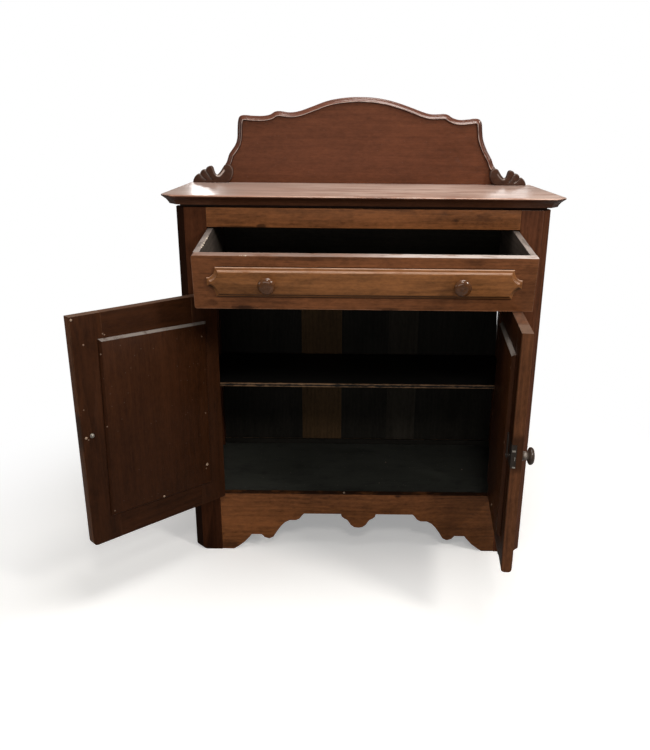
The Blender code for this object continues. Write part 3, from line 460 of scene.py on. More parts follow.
def make_materials(colours):
    dust, front, post = tuple(colours.dust), tuple(colours.front), tuple(colours.post)
    inside = tuple(colours.door)
    # A dark tone for the frieze's and the apron's faces that turn up
    upward_face_dark_tone = tone(44, 27, 17)
    MATERIALS.update({
        # The top board: a light tone and haze that are partly painted sheen and reflection
        "top": wood("top board polish", tuple(colours.top), dark=0.58, light=1.4, ring=0.06, spacing=0.030,
                    streak=0.46, fibre=0.60, blotch=0.65, mottle=0.20, gloss=0.24, gloss_spread=0.25, specular=0.45,
                    # The pale rounded front edge is rubbed wear and a painted highlight
                    sheen=0.5, relief=0.04, wear=0.35, wear_colour=tone(196, 162, 144),
                    haze_and_reflection=(tone(228, 198, 182), 0.82)),
        # The lip's pale edges are rubbed wear and a painted highlight along the lip
        "top edge": wood("top board moulding", tone(81, 49, 33), ring=0.1, gloss=0.38, wear=0.95, wear_width=0.0034,
                         wear_colour=tone(150, 106, 82)),
        "splash": wood("splashback polish", tuple(colours.splash), dark=0.72, light=1.28, ring=0.10, spacing=0.020,
                       fibre=0.36, streak=0.34, blotch=0.50, mottle=0.42, gloss=0.36, specular=0.14, wear=0.15,
                       specks=0.06),
        # The bead's sides are darker as painted shade
        "bead": wood("splashback bead", tone(102, 60, 44), dark=0.6, ring=0.05, fibre=0.2, streak=0.2, blotch=0.4,
                     grit=0.3, relief=0.02, gloss=0.22, specular=0.55, wear=0.0, sides=0.92,
                     # Pale on the arris: a painted highlight
                     worn=(tone(208, 188, 178), 0.75)),
        "carving": wood("carved ear", tone(64, 40, 28), ring=0.1, fibre=0.3, streak=0.25, relief=0.2, gloss=0.40,
                        # Pale rubbed edges, and a painted highlight in the slot
                        specular=0.18, wear=0.0, worn=(tone(206, 192, 184), 0.8)),
        "drawer front": wood("drawer front varnish", tone(112, 68, 40), dark=0.62, light=1.40, ring=0.16, fibre=0.5,
                             blotch=0.50, mottle=0.60, gloss=0.44, wear=0.30, wear_colour=tone(170, 128, 104),
                             # Painted shade along the planted panel's edges
                             crease_shade=(0.327, 0.0335, 0.00225, 0.0034), blots=DRAWER_BLOTS, dust=0.93,
                             # The pale top rim is dust and a painted highlight, brighter to the right
                             dust_colour=tone(198, 186, 180), dust_and_light_along=(-0.06, 0.12, 0.30)),
        # The planted panel: painted shade on its downward faces, and pale dust on its upward bevel that is partly a
        # painted highlight
        "planted panel": wood("planted drawer panel", tuple(colours.plank), dark=0.58, light=1.35, ring=0.26,
                              spacing=0.014, bow=0.16, fibre=0.4, streak=0.28, blotch=0.35, mottle=0.50, gloss=0.36,
                              specular=0.20, under=0.8, wear=0.25, wear_colour=tone(178, 134, 104), dust=0.64,
                              dust_colour=tone(206, 172, 150)),
        "post": wood("post varnish", post, dark=0.60, light=1.35, mottle=0.2, gloss=0.46, specular=0.08, wear=0.3,
                     wear_colour=shade(post, 1.5), soot=0.25, dust=0.3, dust_colour=dust),
        # The left post: a darker copy of the post finish as painted shade, with painted shade on its facet; foot
        # makes it darker towards the floor
        "shaded post": wood("left post varnish in painted shade", shade(post, 0.74), dark=0.60, light=1.35, mottle=0.2, gloss=0.50,
                            specular=0.03, wear=0.2, wear_colour=shade(post, 1.2), soot=0.25, foot=0.45, facet=0.78),
        "door board": wood("planted door board", tone(104, 64, 40), dark=0.60, light=1.42, ring=0.12, spacing=0.022,
                           streak=0.25, blotch=0.55, mottle=0.35, gloss=0.36, specular=0.10, wear=0.20,
                           inside=(shade(inside, 1.10), 0.0110), dust=0.90, dust_colour=tone(128, 120, 114),
                           specks=0.10),
        "knob": wood("turned knob", tone(87, 52, 25), ring=0.10, spacing=0.004, fibre=0.3, relief=0.1, gloss=0.40,
                     specular=0.08, coat=1.0, wear=0.0),
        "old knob": wood("darkened knob", tone(60, 46, 36), ring=0.10, spacing=0.004, fibre=0.3, relief=0.1,
                         # Pale round the neck: a painted highlight
                         gloss=0.30, specular=0.45, wear=0.0, worn=(tone(190, 180, 170), 0.9)),
        "drawer wood": wood("bare drawer wood", tone(76, 68, 62), gloss=0.62, wear=0.2, soot=0.4, dust=0.80,
                            # The rims' pale dust thins towards the back, where they lie in shade under the frieze:
                            # painted shade
                            dust_colour=tone(158, 146, 140), dust_and_light_along=(0.015, -0.10, 0.30)),
        "inner": wood("unfinished inner wood", tone(46, 42, 36), ring=0.2, gloss=0.7, specular=0.2, wear=0.25,
                      soot=0.5),
        "shelf": wood("shelf board", tone(25, 24, 23), gloss=0.62, specular=0.2, wear=0.95, wear_width=0.0045,
                      wear_colour=tone(150, 116, 86), soot=0.4),
        "floor": wood("dusty bottom board", tone(45, 46, 43), ring=0.12, blotch=0.5, gloss=0.7, specular=0.2,
                      soot=0.85, knots=0.7, blots=FLOOR_BLOTS, dust=0.50, dust_colour=tone(78, 80, 74), specks=0.30),
        # The packing under the top board is dark as painted shade in the gap below the top
        "dark wood": wood("packing in painted shade", tone(46, 25, 14), gloss=0.6, wear=0.2),
        "roller": wood("roller hardwood", tone(110, 84, 60), gloss=0.45, wear=0.1),
        "brass": metal("aged brass", tuple(colours.brass), tarnish=tone(70, 52, 32)),
        "steel": metal("worn steel", tone(176, 172, 164), tarnish=tone(96, 82, 68), gloss=0.30, amount=0.5),
        "iron": metal("dark iron", tone(58, 50, 44), tarnish=tone(34, 26, 21), gloss=0.45, metallic=0.7),
        "nail": metal("rusted nail", tone(60, 48, 40), tarnish=tone(74, 42, 26), gloss=0.6, metallic=0.5),
        "putty": putty("pale filler", tone(172, 146, 124)),
        "chip": putty("split wood", tone(226, 212, 190)),
        "old putty": putty("darkened filler", tone(128, 100, 80)),
    })
    for kind, settled, settled_tone, blots in (
            ("front", 0.35, dust, ()), ("frieze", 0.6, upward_face_dark_tone, FRIEZE_BLOTS), ("apron", 0.95, upward_face_dark_tone, APRON_STAINS_AND_DOOR_SHADOW)):
        MATERIALS[kind] = wood(f"{kind} varnish", front, dark=0.52, light=1.46, ring=0.22, blotch=0.50, mottle=0.60,
                               gloss=0.42, knots=0.85, wear=0.40, blots=blots, dust=settled, dust_colour=settled_tone)
    stain = dict(streak=0.25, blotch=0.50, gloss=0.38, specular=0.10, inside=(inside, 0.0012), wear=0.22,
                 wear_width=0.0014, wear_colour=tone(120, 80, 54), dust=0.60)
    MATERIALS["door"] = wood("door stain", tone(97, 59, 37), dark=0.56, light=1.42, mottle=0.50,
                             dust_colour=tone(92, 72, 60), **stain)
    MATERIALS["catch stile"] = wood("door stain by the catch", tone(94, 58, 36), dark=0.58, light=1.40, mottle=0.35,
                                    smudge=(0.012, 0.052, 0.7), dust_colour=tone(122, 100, 86), **stain)
    for kind, inner_tone, outer_tone, gloss, soot, streak in (
            ("dark", tone(36, 34, 30), tone(92, 74, 56), 0.75, 0.45, 0.38),
            ("light", tone(78, 59, 38), tone(122, 98, 72), 0.70, 0.15, 0.25),
            ("middling", tone(50, 46, 40), tone(104, 84, 62), 0.72, 0.25, 0.38)):
        MATERIALS[f"back {kind}"] = wood(f"{kind} back board", inner_tone, ring=0.16, fibre=0.28, streak=streak,
                                         gloss=gloss, specular=0.15, wear=0.2, soot=soot, inside=(outer_tone, 0.003))


class Undoable:
    """A step that can be taken back."""
    bl_options = {"REGISTER", "UNDO"}


class CABINET_OT_finishes(Undoable, bpy.types.Operator):
    """Mix the wood, metal and filler finishes from the chosen colours"""
    bl_idname = "cabinet.finishes"
    bl_label = "Finishes"

    def execute(self, context):
        make_materials(context.scene.cabinet_colours)
        return {"FINISHED"}


# ---------------------------------------------------------------- making a piece

def add_attribute(mesh, label, values):
    """Keeps a number or a vector for each point of a mesh."""
    values = np.asarray(values, np.float32)
    kind, field = ("FLOAT_VECTOR", "vector") if values.ndim == 2 else ("FLOAT", "value")
    mesh.attributes.new(label, kind, "POINT").data.foreach_set(field, values.ravel())


def finished(name, bm, body, materials, along, nodes=(), smooth=32, worn=None):
    """Turns a bmesh in a body's own place into a piece that rides on it and stands for its nodes.

    along is the axis of the grain. The mesh keeps each point's place in the board, for the finish."""
    bmesh.ops.recalc_face_normals(bm, faces=bm.faces[:])
    mesh = bpy.data.meshes.new(name)
    bm.to_mesh(mesh)
    bm.free()
    spots = np.array([v.co for v in mesh.vertices])
    low, high = spots.min(0), spots.max(0)
    reach = (high - low) / 2
    first = "XYZ".index(along)
    order = [first] + sorted((i for i in range(3) if i != first), key=lambda i: -reach[i])
    add_attribute(mesh, "grain", (spots - (low + high) / 2)[:, order])
    add_attribute(mesh, "half", np.tile(reach[order], (len(spots), 1)))
    add_attribute(mesh, "seed", np.full(len(spots), (zlib.crc32(name.encode()) % 997) / 100))
    # worn is the share of a pale tone at each point: rubbed wear, and painted highlights on lit arrises, slot walls
    # and a knob's neck
    if worn is not None:
        add_attribute(mesh, "worn", worn)
    for material in materials:
        mesh.materials.append(MATERIALS[material])
    mesh.transform(PLACES[body])
    mesh.shade_smooth()
    mesh.set_sharp_from_angle(angle=math.radians(smooth))
    piece = bpy.data.objects.new(name, mesh)
    bpy.context.scene.collection.objects.link(piece)
    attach(piece, body)
    if nodes:
        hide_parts(*nodes)


def ease_edges(bm, width, segments=2, shortest=0.0, pick=None):
    """Rounds the sharp edges of a solid."""
    bm.normal_update()
    sharp = math.radians(25)
    chosen = [e for e in bm.edges if len(e.link_faces) == 2 and e.calc_length() > shortest
              and e.calc_face_angle() > sharp and (pick is None or pick(e))]
    if chosen:
        bmesh.ops.bevel(bm, geom=chosen, offset=width, offset_type="OFFSET", segments=segments, profile=0.6,
                        affect="EDGES", clamp_overlap=True)


def node_copy(node):
    """A merged copy of a CAD node's mesh in its body's own place."""
    bm = bmesh.new()
    bm.from_mesh(NODES[node].data)
    bmesh.ops.transform(bm, matrix=PLACES[BODY_OF[node]].inverted(), verts=bm.verts)
    bmesh.ops.remove_doubles(bm, verts=bm.verts, dist=0.00002)
    bmesh.ops.dissolve_limit(bm, angle_limit=math.radians(1), verts=bm.verts, edges=bm.edges)
    return bm


def dressed(node, material, along, width, shortest=0.010, knocked=None, blunt=0.0):
    """A CAD board with its edges rounded by wear, in its finish. Edges that knocked picks are rounded by blunt."""
    bm = node_copy(node)
    if knocked:
        ease_edges(bm, blunt, 5, pick=knocked)
    ease_edges(bm, width, shortest=shortest)
    finished(f"{node}_wood", bm, BODY_OF[node], [material], along, [node])


def paint_node(node, material):
    """Gives a CAD node that stays as it is its finish."""
    NODES[node].data.materials.clear()
    NODES[node].data.materials.append(MATERIALS[material])


def ring_solid(rings, bm=None):
    """A solid through rings of points, each with as many points."""
    bm = bm or bmesh.new()
    loops = [[bm.verts.new(p) for p in ring] for ring in rings]
    count = len(rings[0])
    for lower, upper in zip(loops, loops[1:]):
        for i in range(count):
            j = (i + 1) % count
            bm.faces.new((lower[i], lower[j], upper[j], upper[i]))
    bm.faces.new(loops[0])
    bm.faces.new(loops[-1])
    return bm


def turned(profile, sides, at, axis):
    """A solid turned about an axis through at: profile holds (radius, distance along) from foot to head."""
    axis = Vector(axis).normalized()
    first = axis.orthogonal().normalized()
    second = axis.cross(first)
    return ring_solid([[Vector(at) + axis * along + first * (radius * math.cos(2 * math.pi * i / sides))
                        + second * (radius * math.sin(2 * math.pi * i / sides)) for i in range(sides)]
                       for radius, along in profile])


def curve_through(points, steps):
    """A smooth line through the points."""
    out = []
    for i in range(len(points) - 1):
        before = points[max(i - 1, 0)]
        start, end = points[i], points[i + 1]
        after = points[min(i + 2, len(points) - 1)]
        for k in range(steps):
            t = k / steps
            out.append(tuple(
                (2 * p1 + (p2 - p0) * t + (2 * p0 - 5 * p1 + 4 * p2 - p3) * t * t
                 + (3 * p1 - p0 - 3 * p2 + p3) * t ** 3) / 2
                for p0, p1, p2, p3 in zip(before, start, end, after)))
    out.append(tuple(points[-1]))
    return out


def inset(outline, distances):
    """A convex outline whose edges are each moved inwards."""
    count = len(outline)
    area = sum(outline[i][0] * outline[(i + 1) % count][1] - outline[(i + 1) % count][0] * outline[i][1]
               for i in range(count))
    turn = 1 if area > 0 else -1
    lines = []
    for i in range(count):
        start, end = Vector(outline[i]), Vector(outline[(i + 1) % count])
        along = (end - start).normalized()
        lines.append((start + Vector((-along.y, along.x)) * turn * distances[i], along))
    moved = []
    for i in range(count):
        (p, d), (q, e) = lines[i - 1], lines[i]
        span = d.x * e.y - d.y * e.x
        reach = ((q.x - p.x) * e.y - (q.y - p.y) * e.x) / span
        moved.append((p.x + d.x * reach, p.y + d.y * reach))
    return moved


# ---------------------------------------------------------------- top board

TOP_CLIP_ACROSS, TOP_CLIP_BACK = 0.032, 0.040
TOP_LIP, TOP_COVE, TOP_HOLLOW, TOP_STEPS = 0.0056, 0.018, 0.0016, 9
LIP_FOOT = 0.0012
# How far in and how far down the points of the upper edge's rounding lie
TOP_ROUNDING = ((0.0055, 0.0), (0.0024, 0.0004), (0.0007, 0.0014), (0.0, 0.0027))
POLISH_DEPTH = 0.0024


class CABINET_OT_top_board(Undoable, bpy.types.Operator):
    """Build the top board with its lip and cove"""
    bl_idname = "cabinet.top_board"
    bl_label = "Top board"

    def execute(self, context):
        low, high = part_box("top_board")
        front, wide, top, thick = low.y, high.x, high.z, high.z - low.z
        outline = [(-wide, 0.0), (-wide, front + TOP_CLIP_BACK), (-wide + TOP_CLIP_ACROSS, front),
                   (wide - TOP_CLIP_ACROSS, front), (wide, front + TOP_CLIP_BACK), (wide, 0.0)]

        def ring(depth, z):
            return [(x, y, z) for x, y in inset(outline, [depth, depth, depth, depth, depth, 0])]

        rings = [ring(depth, top - drop) for depth, drop in TOP_ROUNDING]
        rings += [ring(0.0, top - TOP_LIP + 0.0010), ring(0.0004, top - TOP_LIP + 0.0003),
                  ring(LIP_FOOT, top - TOP_LIP)]
        for i in range(1, TOP_STEPS + 1):
            share = i / TOP_STEPS
            swell = math.sin(math.pi * share) * TOP_HOLLOW
            rings.append(ring(LIP_FOOT + (TOP_COVE - LIP_FOOT) * share + swell,
                              top - TOP_LIP - (thick - TOP_LIP) * share + swell * 0.6))
        bm = ring_solid(rings)
        for face in bm.faces:
            face.material_index = 0 if face.calc_center_median().z > top - POLISH_DEPTH else 1
        finished("top_board_wood", bm, "carcass", ["top", "top edge"], "X", ["top_board"])
        return {"FINISHED"}


# ---------------------------------------------------------------- splashback and its ears

# The splashback's edge in millimetres across and up, from the left foot to the right one
SPLASH_OUTLINE = (
    (-400, 971), (-399, 984), (-398, 997), (-393.3, 1012.5), (-387.4, 1019), (-381.9, 1027.5),
    (-378.1, 1038), (-373.4, 1049.5), (-364.4, 1061.5), (-354.5, 1076.5), (-349.8, 1093), (-348.6, 1112.4),
    (-346.4, 1135.3), (-341.4, 1147.9), (-329.3, 1152.0), (-305.2, 1150.6), (-277.4, 1150.4),
    (-256.5, 1154.0), (-243.5, 1161.4), (-228.6, 1163.4), (-200.9, 1160.2), (-173.1, 1164.4),
    (-138.4, 1176.4), (-103.8, 1189.0), (-76.3, 1195.6), (-38, 1200.6), (0, 1201.6),
    (34, 1200.0), (68.5, 1194.8), (103.3, 1186.0), (138.3, 1174.6), (166.4, 1164.8), (187.4, 1159.4),
    (208.2, 1158.9), (226.0, 1160.0), (238.7, 1157.3), (251.4, 1149.6), (271.5, 1144.8),
    (299.2, 1146.6), (315.5, 1148.6), (327.0, 1145.4), (333.3, 1135.2), (336.3, 1112.2),
    (340.0, 1092.3), (350.0, 1068.9), (360.5, 1050.8), (367.7, 1038.9), (372.5, 1027),
    (379, 1017.2), (388.6, 1008), (391, 996), (392, 984), (392.5, 971))
SPLASH_EASE = 0.0012
# The moulded band, across and proud: a hollow that faces outwards, up to a rounded arris beside the panel
BEAD_PROFILE = ((0.00, 0.00), (0.00, 0.12), (0.05, 0.20), (0.16, 0.24), (0.30, 0.31), (0.44, 0.42), (0.56, 0.56),
                (0.66, 0.74), (0.73, 0.92), (0.79, 1.00), (0.86, 0.98), (0.92, 0.84), (0.965, 0.55), (1.00, 0.00))
BEAD_FOOT = 1.0165


class CABINET_OT_splashback(Undoable, bpy.types.Operator):
    """Build the shaped splashback and its moulded band"""
    bl_idname = "cabinet.splashback"
    bl_label = "Splashback"

    def execute(self, context):
        sizes = context.scene.cabinet_sizes
        low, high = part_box("splash_panel")
        back, front = high.y, low.y
        line = curve_through([(x / 1000, z / 1000) for x, z in SPLASH_OUTLINE], 4)
        normals = []
        for i in range(len(line)):
            along = (Vector(line[min(i + 1, len(line) - 1)]) - Vector(line[max(i - 1, 0)])).normalized()
            normals.append(Vector((along.y, -along.x)))

        def ring(depth, y):
            return [(p[0] + n.x * depth, y, p[1] + n.y * depth) for p, n in zip(line, normals)]

        bm = ring_solid([ring(SPLASH_EASE, back), ring(0, back - SPLASH_EASE), ring(0, front + SPLASH_EASE),
                         ring(SPLASH_EASE, front)])
        finished("splash_panel_wood", bm, "carcass", ["splash"], "X", ["splash_panel"])

        rings, worn = [], []
        for point, inward in zip(line, normals):
            if point[1] < BEAD_FOOT:
                continue
            spots = [Vector(point) + inward * (sizes.bead_width * across) for across, _ in BEAD_PROFILE]
            rings.append([(spot.x, front - 0.0001 - sizes.bead_proud * proud, spot.y)
                          for spot, (_, proud) in zip(spots, BEAD_PROFILE)])
            # Pale along the arris, where the band stands proudest: a painted highlight
            worn += [max(0.0, proud - 0.9) * 8 if across < 0.9 else 0.0 for across, proud in BEAD_PROFILE]
        finished("splash_bead_wood", ring_solid(rings), "carcass", ["bead"], "X", ["splash_bead"], smooth=60,
                 worn=worn)
        return {"FINISHED"}


# Each ear's outline, the cuts between its leaves and the slot of its curl, as shares of length and height
EAR_OUTLINE = ((0.200, 0.000), (0.135, 0.100), (0.085, 0.230), (0.052, 0.400), (0.038, 0.580), (0.045, 0.770),
               (0.085, 0.915), (0.150, 0.990), (0.222, 0.960), (0.268, 0.830), (0.318, 0.660), (0.372, 0.510),
               (0.425, 0.425), (0.468, 0.480), (0.492, 0.620), (0.512, 0.790), (0.548, 0.885), (0.602, 0.885),
               (0.655, 0.810), (0.690, 0.690), (0.722, 0.712), (0.768, 0.680), (0.808, 0.580), (0.832, 0.475),
               (0.868, 0.478), (0.912, 0.415), (0.955, 0.310), (0.988, 0.170), (1.000, 0.060), (0.990, 0.000))
EAR_CUTS = (((0.690, 0.720), (0.655, 0.550), (0.607, 0.390), (0.552, 0.230)),
            ((0.832, 0.500), (0.800, 0.385), (0.745, 0.260), (0.690, 0.170)))
EAR_SLOT = ((0.420, 0.400), (0.368, 0.385), (0.305, 0.490), (0.243, 0.670))
EAR_CURL = (0.135, 0.50)
EAR_GRID = 0.0010
EAR_RIM, EAR_CROWN = 0.0035, 0.0030
EAR_FACE_BACK = 0.0036 + 0.0016


def distance_to(points, line):
    """The distance of each point to a line of points."""
    best = np.full(len(points), 1e9)
    for start, end in zip(line, line[1:]):
        a, b = np.array(start), np.array(end)
        ab = b - a
        t = np.clip(((points - a) @ ab) / max(ab @ ab, 1e-12), 0, 1)
        best = np.minimum(best, np.linalg.norm(points - (a + t[:, None] * ab), axis=1))
    return best


def ridge(distance, width):
    """1 on a line, falling off smoothly over width."""
    return np.exp(-(distance / width) ** 2)


def grid_inside(ring, size):
    """Points of a staggered grid that lie inside a closed ring."""
    inside = []
    for i in range(int(size[0] * 1.03 / EAR_GRID)):
        for k in range(int(size[1] / EAR_GRID)):
            spot = Vector(((i + 0.5 * (k % 2)) * EAR_GRID, (k + 0.5) * EAR_GRID))
            crossings = 0
            for p, q in zip(ring, ring[1:] + ring[:1]):
                if (p.y > spot.y) != (q.y > spot.y):
                    if spot.x < (q.x - p.x) * (spot.y - p.y) / (q.y - p.y) + p.x:
                        crossings += 1
            if crossings % 2:
                inside.append(spot)
    return inside


def make_ear(side, depth):
    """One carved ear: a flat leaf scroll with a crowned face, cut to a depth between its leaves."""
    node = "scroll_ear_left" if side < 0 else "scroll_ear_right"
    low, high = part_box(node)
    start, end = (high.x, low.x) if side < 0 else (low.x, high.x)
    size = np.array([abs(end - start), high.z - low.z])

    def at_size(points):
        return [tuple(np.array(p) * size) for p in points]

    outline = at_size(EAR_OUTLINE[:1]) + curve_through(at_size(EAR_OUTLINE[1:-1]), 3) + at_size(EAR_OUTLINE[-1:])
    closed = outline + outline[:1]
    ring = [Vector(p) for p in outline]
    inside = grid_inside(ring, size)
    clear = distance_to(np.array([tuple(p) for p in inside]), closed) > EAR_GRID * 0.55
    verts = ring + [p for p, ok in zip(inside, clear) if ok]
    edges = [(i, (i + 1) % len(ring)) for i in range(len(ring))]
    made = geometry.delaunay_2d_cdt(verts, edges, [], 1, 1e-7)

    # How far each point stands forward, and how pale it turns: rubbed edges, and a painted highlight on the slot's
    # wall
    spots = np.array([tuple(p) for p in made[0]])
    shares = spots / size
    rim = distance_to(spots, closed)
    relief = np.sqrt(np.clip(1 - (1 - np.clip(rim / EAR_RIM, 0, 1)) ** 2, 0, 1)) * EAR_CROWN
    worn = ridge(rim - 0.0008, 0.0007) * 0.30
    for cut in EAR_CUTS:
        line = curve_through(at_size(cut), 4)
        away = distance_to(spots, line)
        outer = np.clip((shares[:, 0] - line[0][0] / size[0]) * 6 + (line[0][1] / size[1] - shares[:, 1]) * 2, -1, 1)
        relief -= depth * 0.6 * ridge(away, 0.0012)
        relief -= 0.0016 * ridge(away, 0.0060) * (outer > 0)
        worn = np.maximum(worn, ridge(away - 0.0009, 0.0008) * 0.75)
    slot = distance_to(spots, curve_through(at_size(EAR_SLOT), 4))
    relief -= depth * 0.5 * ridge(slot, 0.0016)
    # A painted highlight on the slot's wall
    worn = np.maximum(worn, ridge(slot, 0.0019) * 1.6)
    relief += 0.0010 * ridge(np.linalg.norm((shares - np.array(EAR_CURL)) * size, axis=1), 0.0090)
    relief -= 0.0060 * np.clip(shares[:, 0] - 0.55, 0, 1)

    bm = bmesh.new()
    face_y = low.y + EAR_FACE_BACK
    front = [bm.verts.new((start + side * p[0], max(low.y, face_y - r), low.z + p[1])) for p, r in zip(spots, relief)]
    rear = [bm.verts.new((start + side * p[0], high.y, low.z + p[1])) for p in spots]
    uses = {}
    for face in made[2]:
        bm.faces.new([front[i] for i in face])
        bm.faces.new([rear[i] for i in reversed(face)])
        for a, b in zip(face, face[1:] + face[:1]):
            uses.setdefault(frozenset((a, b)), []).append((a, b))
    for used in uses.values():
        if len(used) == 1:
            a, b = used[0]
            bm.faces.new((front[b], front[a], rear[a], rear[b]))
    finished(f"{node}_carving", bm, "carcass", ["carving"], "X", [node], smooth=50,
             worn=np.concatenate([worn, np.zeros(len(rear))]))


class CABINET_OT_ears(Undoable, bpy.types.Operator):
    """Carve the leaf scrolls beside the splashback"""
    bl_idname = "cabinet.ears"
    bl_label = "Carved ears"

    def execute(self, context):
        for side in (-1, 1):
            make_ear(side, context.scene.cabinet_sizes.carving_depth)
        return {"FINISHED"}


# ---------------------------------------------------------------- carcass

BACK_TONES = ("back dark", "back light", "back dark", "back middling", "back dark")
BACK_SEAM = 0.00013
CRACK_WIDTH, CRACK_REACH = 0.0016, (0.55, 0.65)
POST_FOOT_X = -0.4405


def left_foot(edge):
    """The outer edges under the left front post."""
    return max(v.co.z for v in edge.verts) < 0.001 and sum(v.co.x for v in edge.verts) / 2 < POST_FOOT_X


class CABINET_OT_carcass(Undoable, bpy.types.Operator):
    """Dress the posts, rails, sides and back boards"""
    bl_idname = "cabinet.carcass"
    bl_label = "Carcass"

    def execute(self, context):
        ease = context.scene.cabinet_sizes.edge_round
        for side, material, knocked in (("left", "shaded post", left_foot), ("right", "post", None)):
            dressed(f"front_post_{side}", material, "Z", ease, shortest=0.035, knocked=knocked, blunt=0.011)
            dressed(f"rear_post_{side}", "post", "Z", ease)
            dressed(f"side_panel_{side}", "post", "Z", 0.0008, shortest=0.020)
        # Dark as painted shade below the top board
        dressed("top_packing", "dark wood", "X", 0.0006)
        dressed("frieze_rail", "frieze", "X", 0.0010)
        dressed("divider_rail", "front", "X", 0.0008, shortest=0.020)
        for number, material in enumerate(BACK_TONES, 1):
            node = f"back_board_{number}"
            bm = node_copy(node)
            middle = sum(v.co.x for v in bm.verts) / len(bm.verts)
            for vert in bm.verts:
                vert.co.x += BACK_SEAM if vert.co.x > middle else -BACK_SEAM
                if number == 5 and vert.co.x > middle and CRACK_REACH[0] < vert.co.z < CRACK_REACH[1]:
                    vert.co.x -= CRACK_WIDTH
            finished(f"{node}_wood", bm, "carcass", [material], "Z", [node])
        return {"FINISHED"}


class CABINET_OT_interior(Undoable, bpy.types.Operator):
    """Dress the shelf, bottom board, bearers and runners"""
    bl_idname = "cabinet.interior"
    bl_label = "Interior"

    def execute(self, context):
        dressed("rear_bottom_rail", "back dark", "X", 0.0010)
        dressed("shelf", "shelf", "X", 0.0014)
        dressed("bottom_board", "floor", "X", 0.0008)
        for side in ("left", "right"):
            dressed(f"shelf_bearer_{side}", "inner", "Y", 0.0010)
            dressed(f"drawer_runner_{side}", "inner", "Y", 0.0008)
            dressed(f"drawer_guide_{side}", "inner", "Y", 0.0008)
        dressed("divider_roller", "roller", "X", 0.0004)
        return {"FINISHED"}


class CABINET_OT_apron(Undoable, bpy.types.Operator):
    """Dress the scrolled apron"""
    bl_idname = "cabinet.apron"
    bl_label = "Apron"

    def execute(self, context):
        dressed("apron", "apron", "X", 0.0013, shortest=0.003)
        return {"FINISHED"}


# ---------------------------------------------------------------- doors

DOOR_FOOT = 0.1805
LEFT_CORNER_X = 0.3775
BOARD_SEAT = 0.0243
# The raised field that shows outside: from and to across the door, and from and to upwards
DOOR_FIELD = (0.073, 0.3043, 0.265, 0.647)


def left_corner(edge):
    """The free lower corner of the left door, through its thickness."""
    low, high = edge.verts
    return min(low.co.x, high.co.x) > LEFT_CORNER_X and max(low.co.z, high.co.z) < DOOR_FOOT


def right_foot(edge):
    """The lower edges of the right door's free stile, along its width."""
    first, last = edge.verts
    return max(first.co.z, last.co.z) < DOOR_FOOT and abs(first.co.x - last.co.x) > 0.03


class CABINET_OT_door_frames(Undoable, bpy.types.Operator):
    """Dress the stiles and rails of both doors"""
    bl_idname = "cabinet.door_frames"
    bl_label = "Door frames"

    def execute(self, context):
        ease = context.scene.cabinet_sizes.edge_round * 0.8
        for side, corner, blunt in (("left", left_corner, 0.012), ("right", right_foot, 0.010)):
            dressed(f"{side}_hinge_stile", "door", "Z", ease, shortest=0.050)
            dressed(f"{side}_meeting_stile", "catch stile", "Z", ease, shortest=0.050, knocked=corner, blunt=blunt)
            dressed(f"{side}_top_rail", "door", "X", ease, shortest=0.050)
            dressed(f"{side}_bottom_rail", "door", "X", ease, shortest=0.050)
        return {"FINISHED"}


def door_ring(body, box, through, depth=0.0, turn=0.0):
    """A rectangle in a door at a distance through it, drawn in by depth and turned about its middle."""
    a, b, low, high = box[0] + depth, box[1] - depth, box[2] + depth, box[3] - depth
    middle = ((a + b) / 2, (low + high) / 2)
    out = []
    for u, z in ((a, low), (b, low), (b, high), (a, high)):
        du, dz = u - middle[0], z - middle[1]
        out.append(door_point(body, middle[0] + du * math.cos(turn) - dz * math.sin(turn), through,
                              middle[1] + du * math.sin(turn) + dz * math.cos(turn)))
    return out


class CABINET_OT_door_boards(Undoable, bpy.types.Operator):
    """Build the board planted on each door's back, with the raised field that shows outside"""
    bl_idname = "cabinet.door_boards"
    bl_label = "Door boards"

    def execute(self, context):
        for body, tilt in (("left_door", context.scene.cabinet_sizes.board_tilt), ("right_door", 0.0)):
            low, high = own_box(f"{body}_panel")
            x0, x1 = sorted(DOOR_WAY[body] * x - DOOR_EDGE for x in (low.x, high.x))
            board, outer, rear = (x0, x1, low.z, high.z), low.y - DOOR_PROUD, high.y - DOOR_PROUD
            rings = [door_ring(body, board, through, depth, tilt) for through, depth in (
                (rear, 0.0056), (rear - 0.0006, 0.0046), (rear - 0.0058, 0.0006), (rear - 0.0068, 0.0),
                (BOARD_SEAT, 0.0))]
            rings += [door_ring(body, DOOR_FIELD, through, depth) for through, depth in (
                (BOARD_SEAT, 0.0), (outer + 0.0070, 0.0), (outer + 0.0060, 0.0012), (outer + 0.0010, 0.0125),
                (outer + 0.0004, 0.0128), (outer, 0.0150))]
            finished(f"{body}_panel_wood", ring_solid(rings), body, ["door board"], "Z", [f"{body}_panel"])
        return {"FINISHED"}


# ---------------------------------------------------------------- metalwork

class CABINET_OT_hinges(Undoable, bpy.types.Operator):
    """Give the hinge leaves their brass"""
    bl_idname = "cabinet.hinges"
    bl_label = "Hinges"

    def execute(self, context):
        for node in NODES:
            if node.endswith("_leaf"):
                paint_node(node, "brass")
        return {"FINISHED"}


STUD_SIDES, STUD_STEPS = 24, 8
# The stud's foot and collar, as radius and distance out of the door, before its domed head
STUD_FOOT = ((0.0016, -0.0110), (0.0016, 0.0), (0.0054, 0.0), (0.0054, 0.0005), (0.0047, 0.0009))
# The worn plates in the right door's edge: from and to through the door, and from and to upwards
CATCH_PLATES = ((0.0150, 0.0225, 0.4760, 0.4800), (0.0135, 0.0200, 0.4385, 0.4415), (0.0150, 0.0165, 0.4560, 0.4640))
DOOR_FREE_EDGE = 0.3769


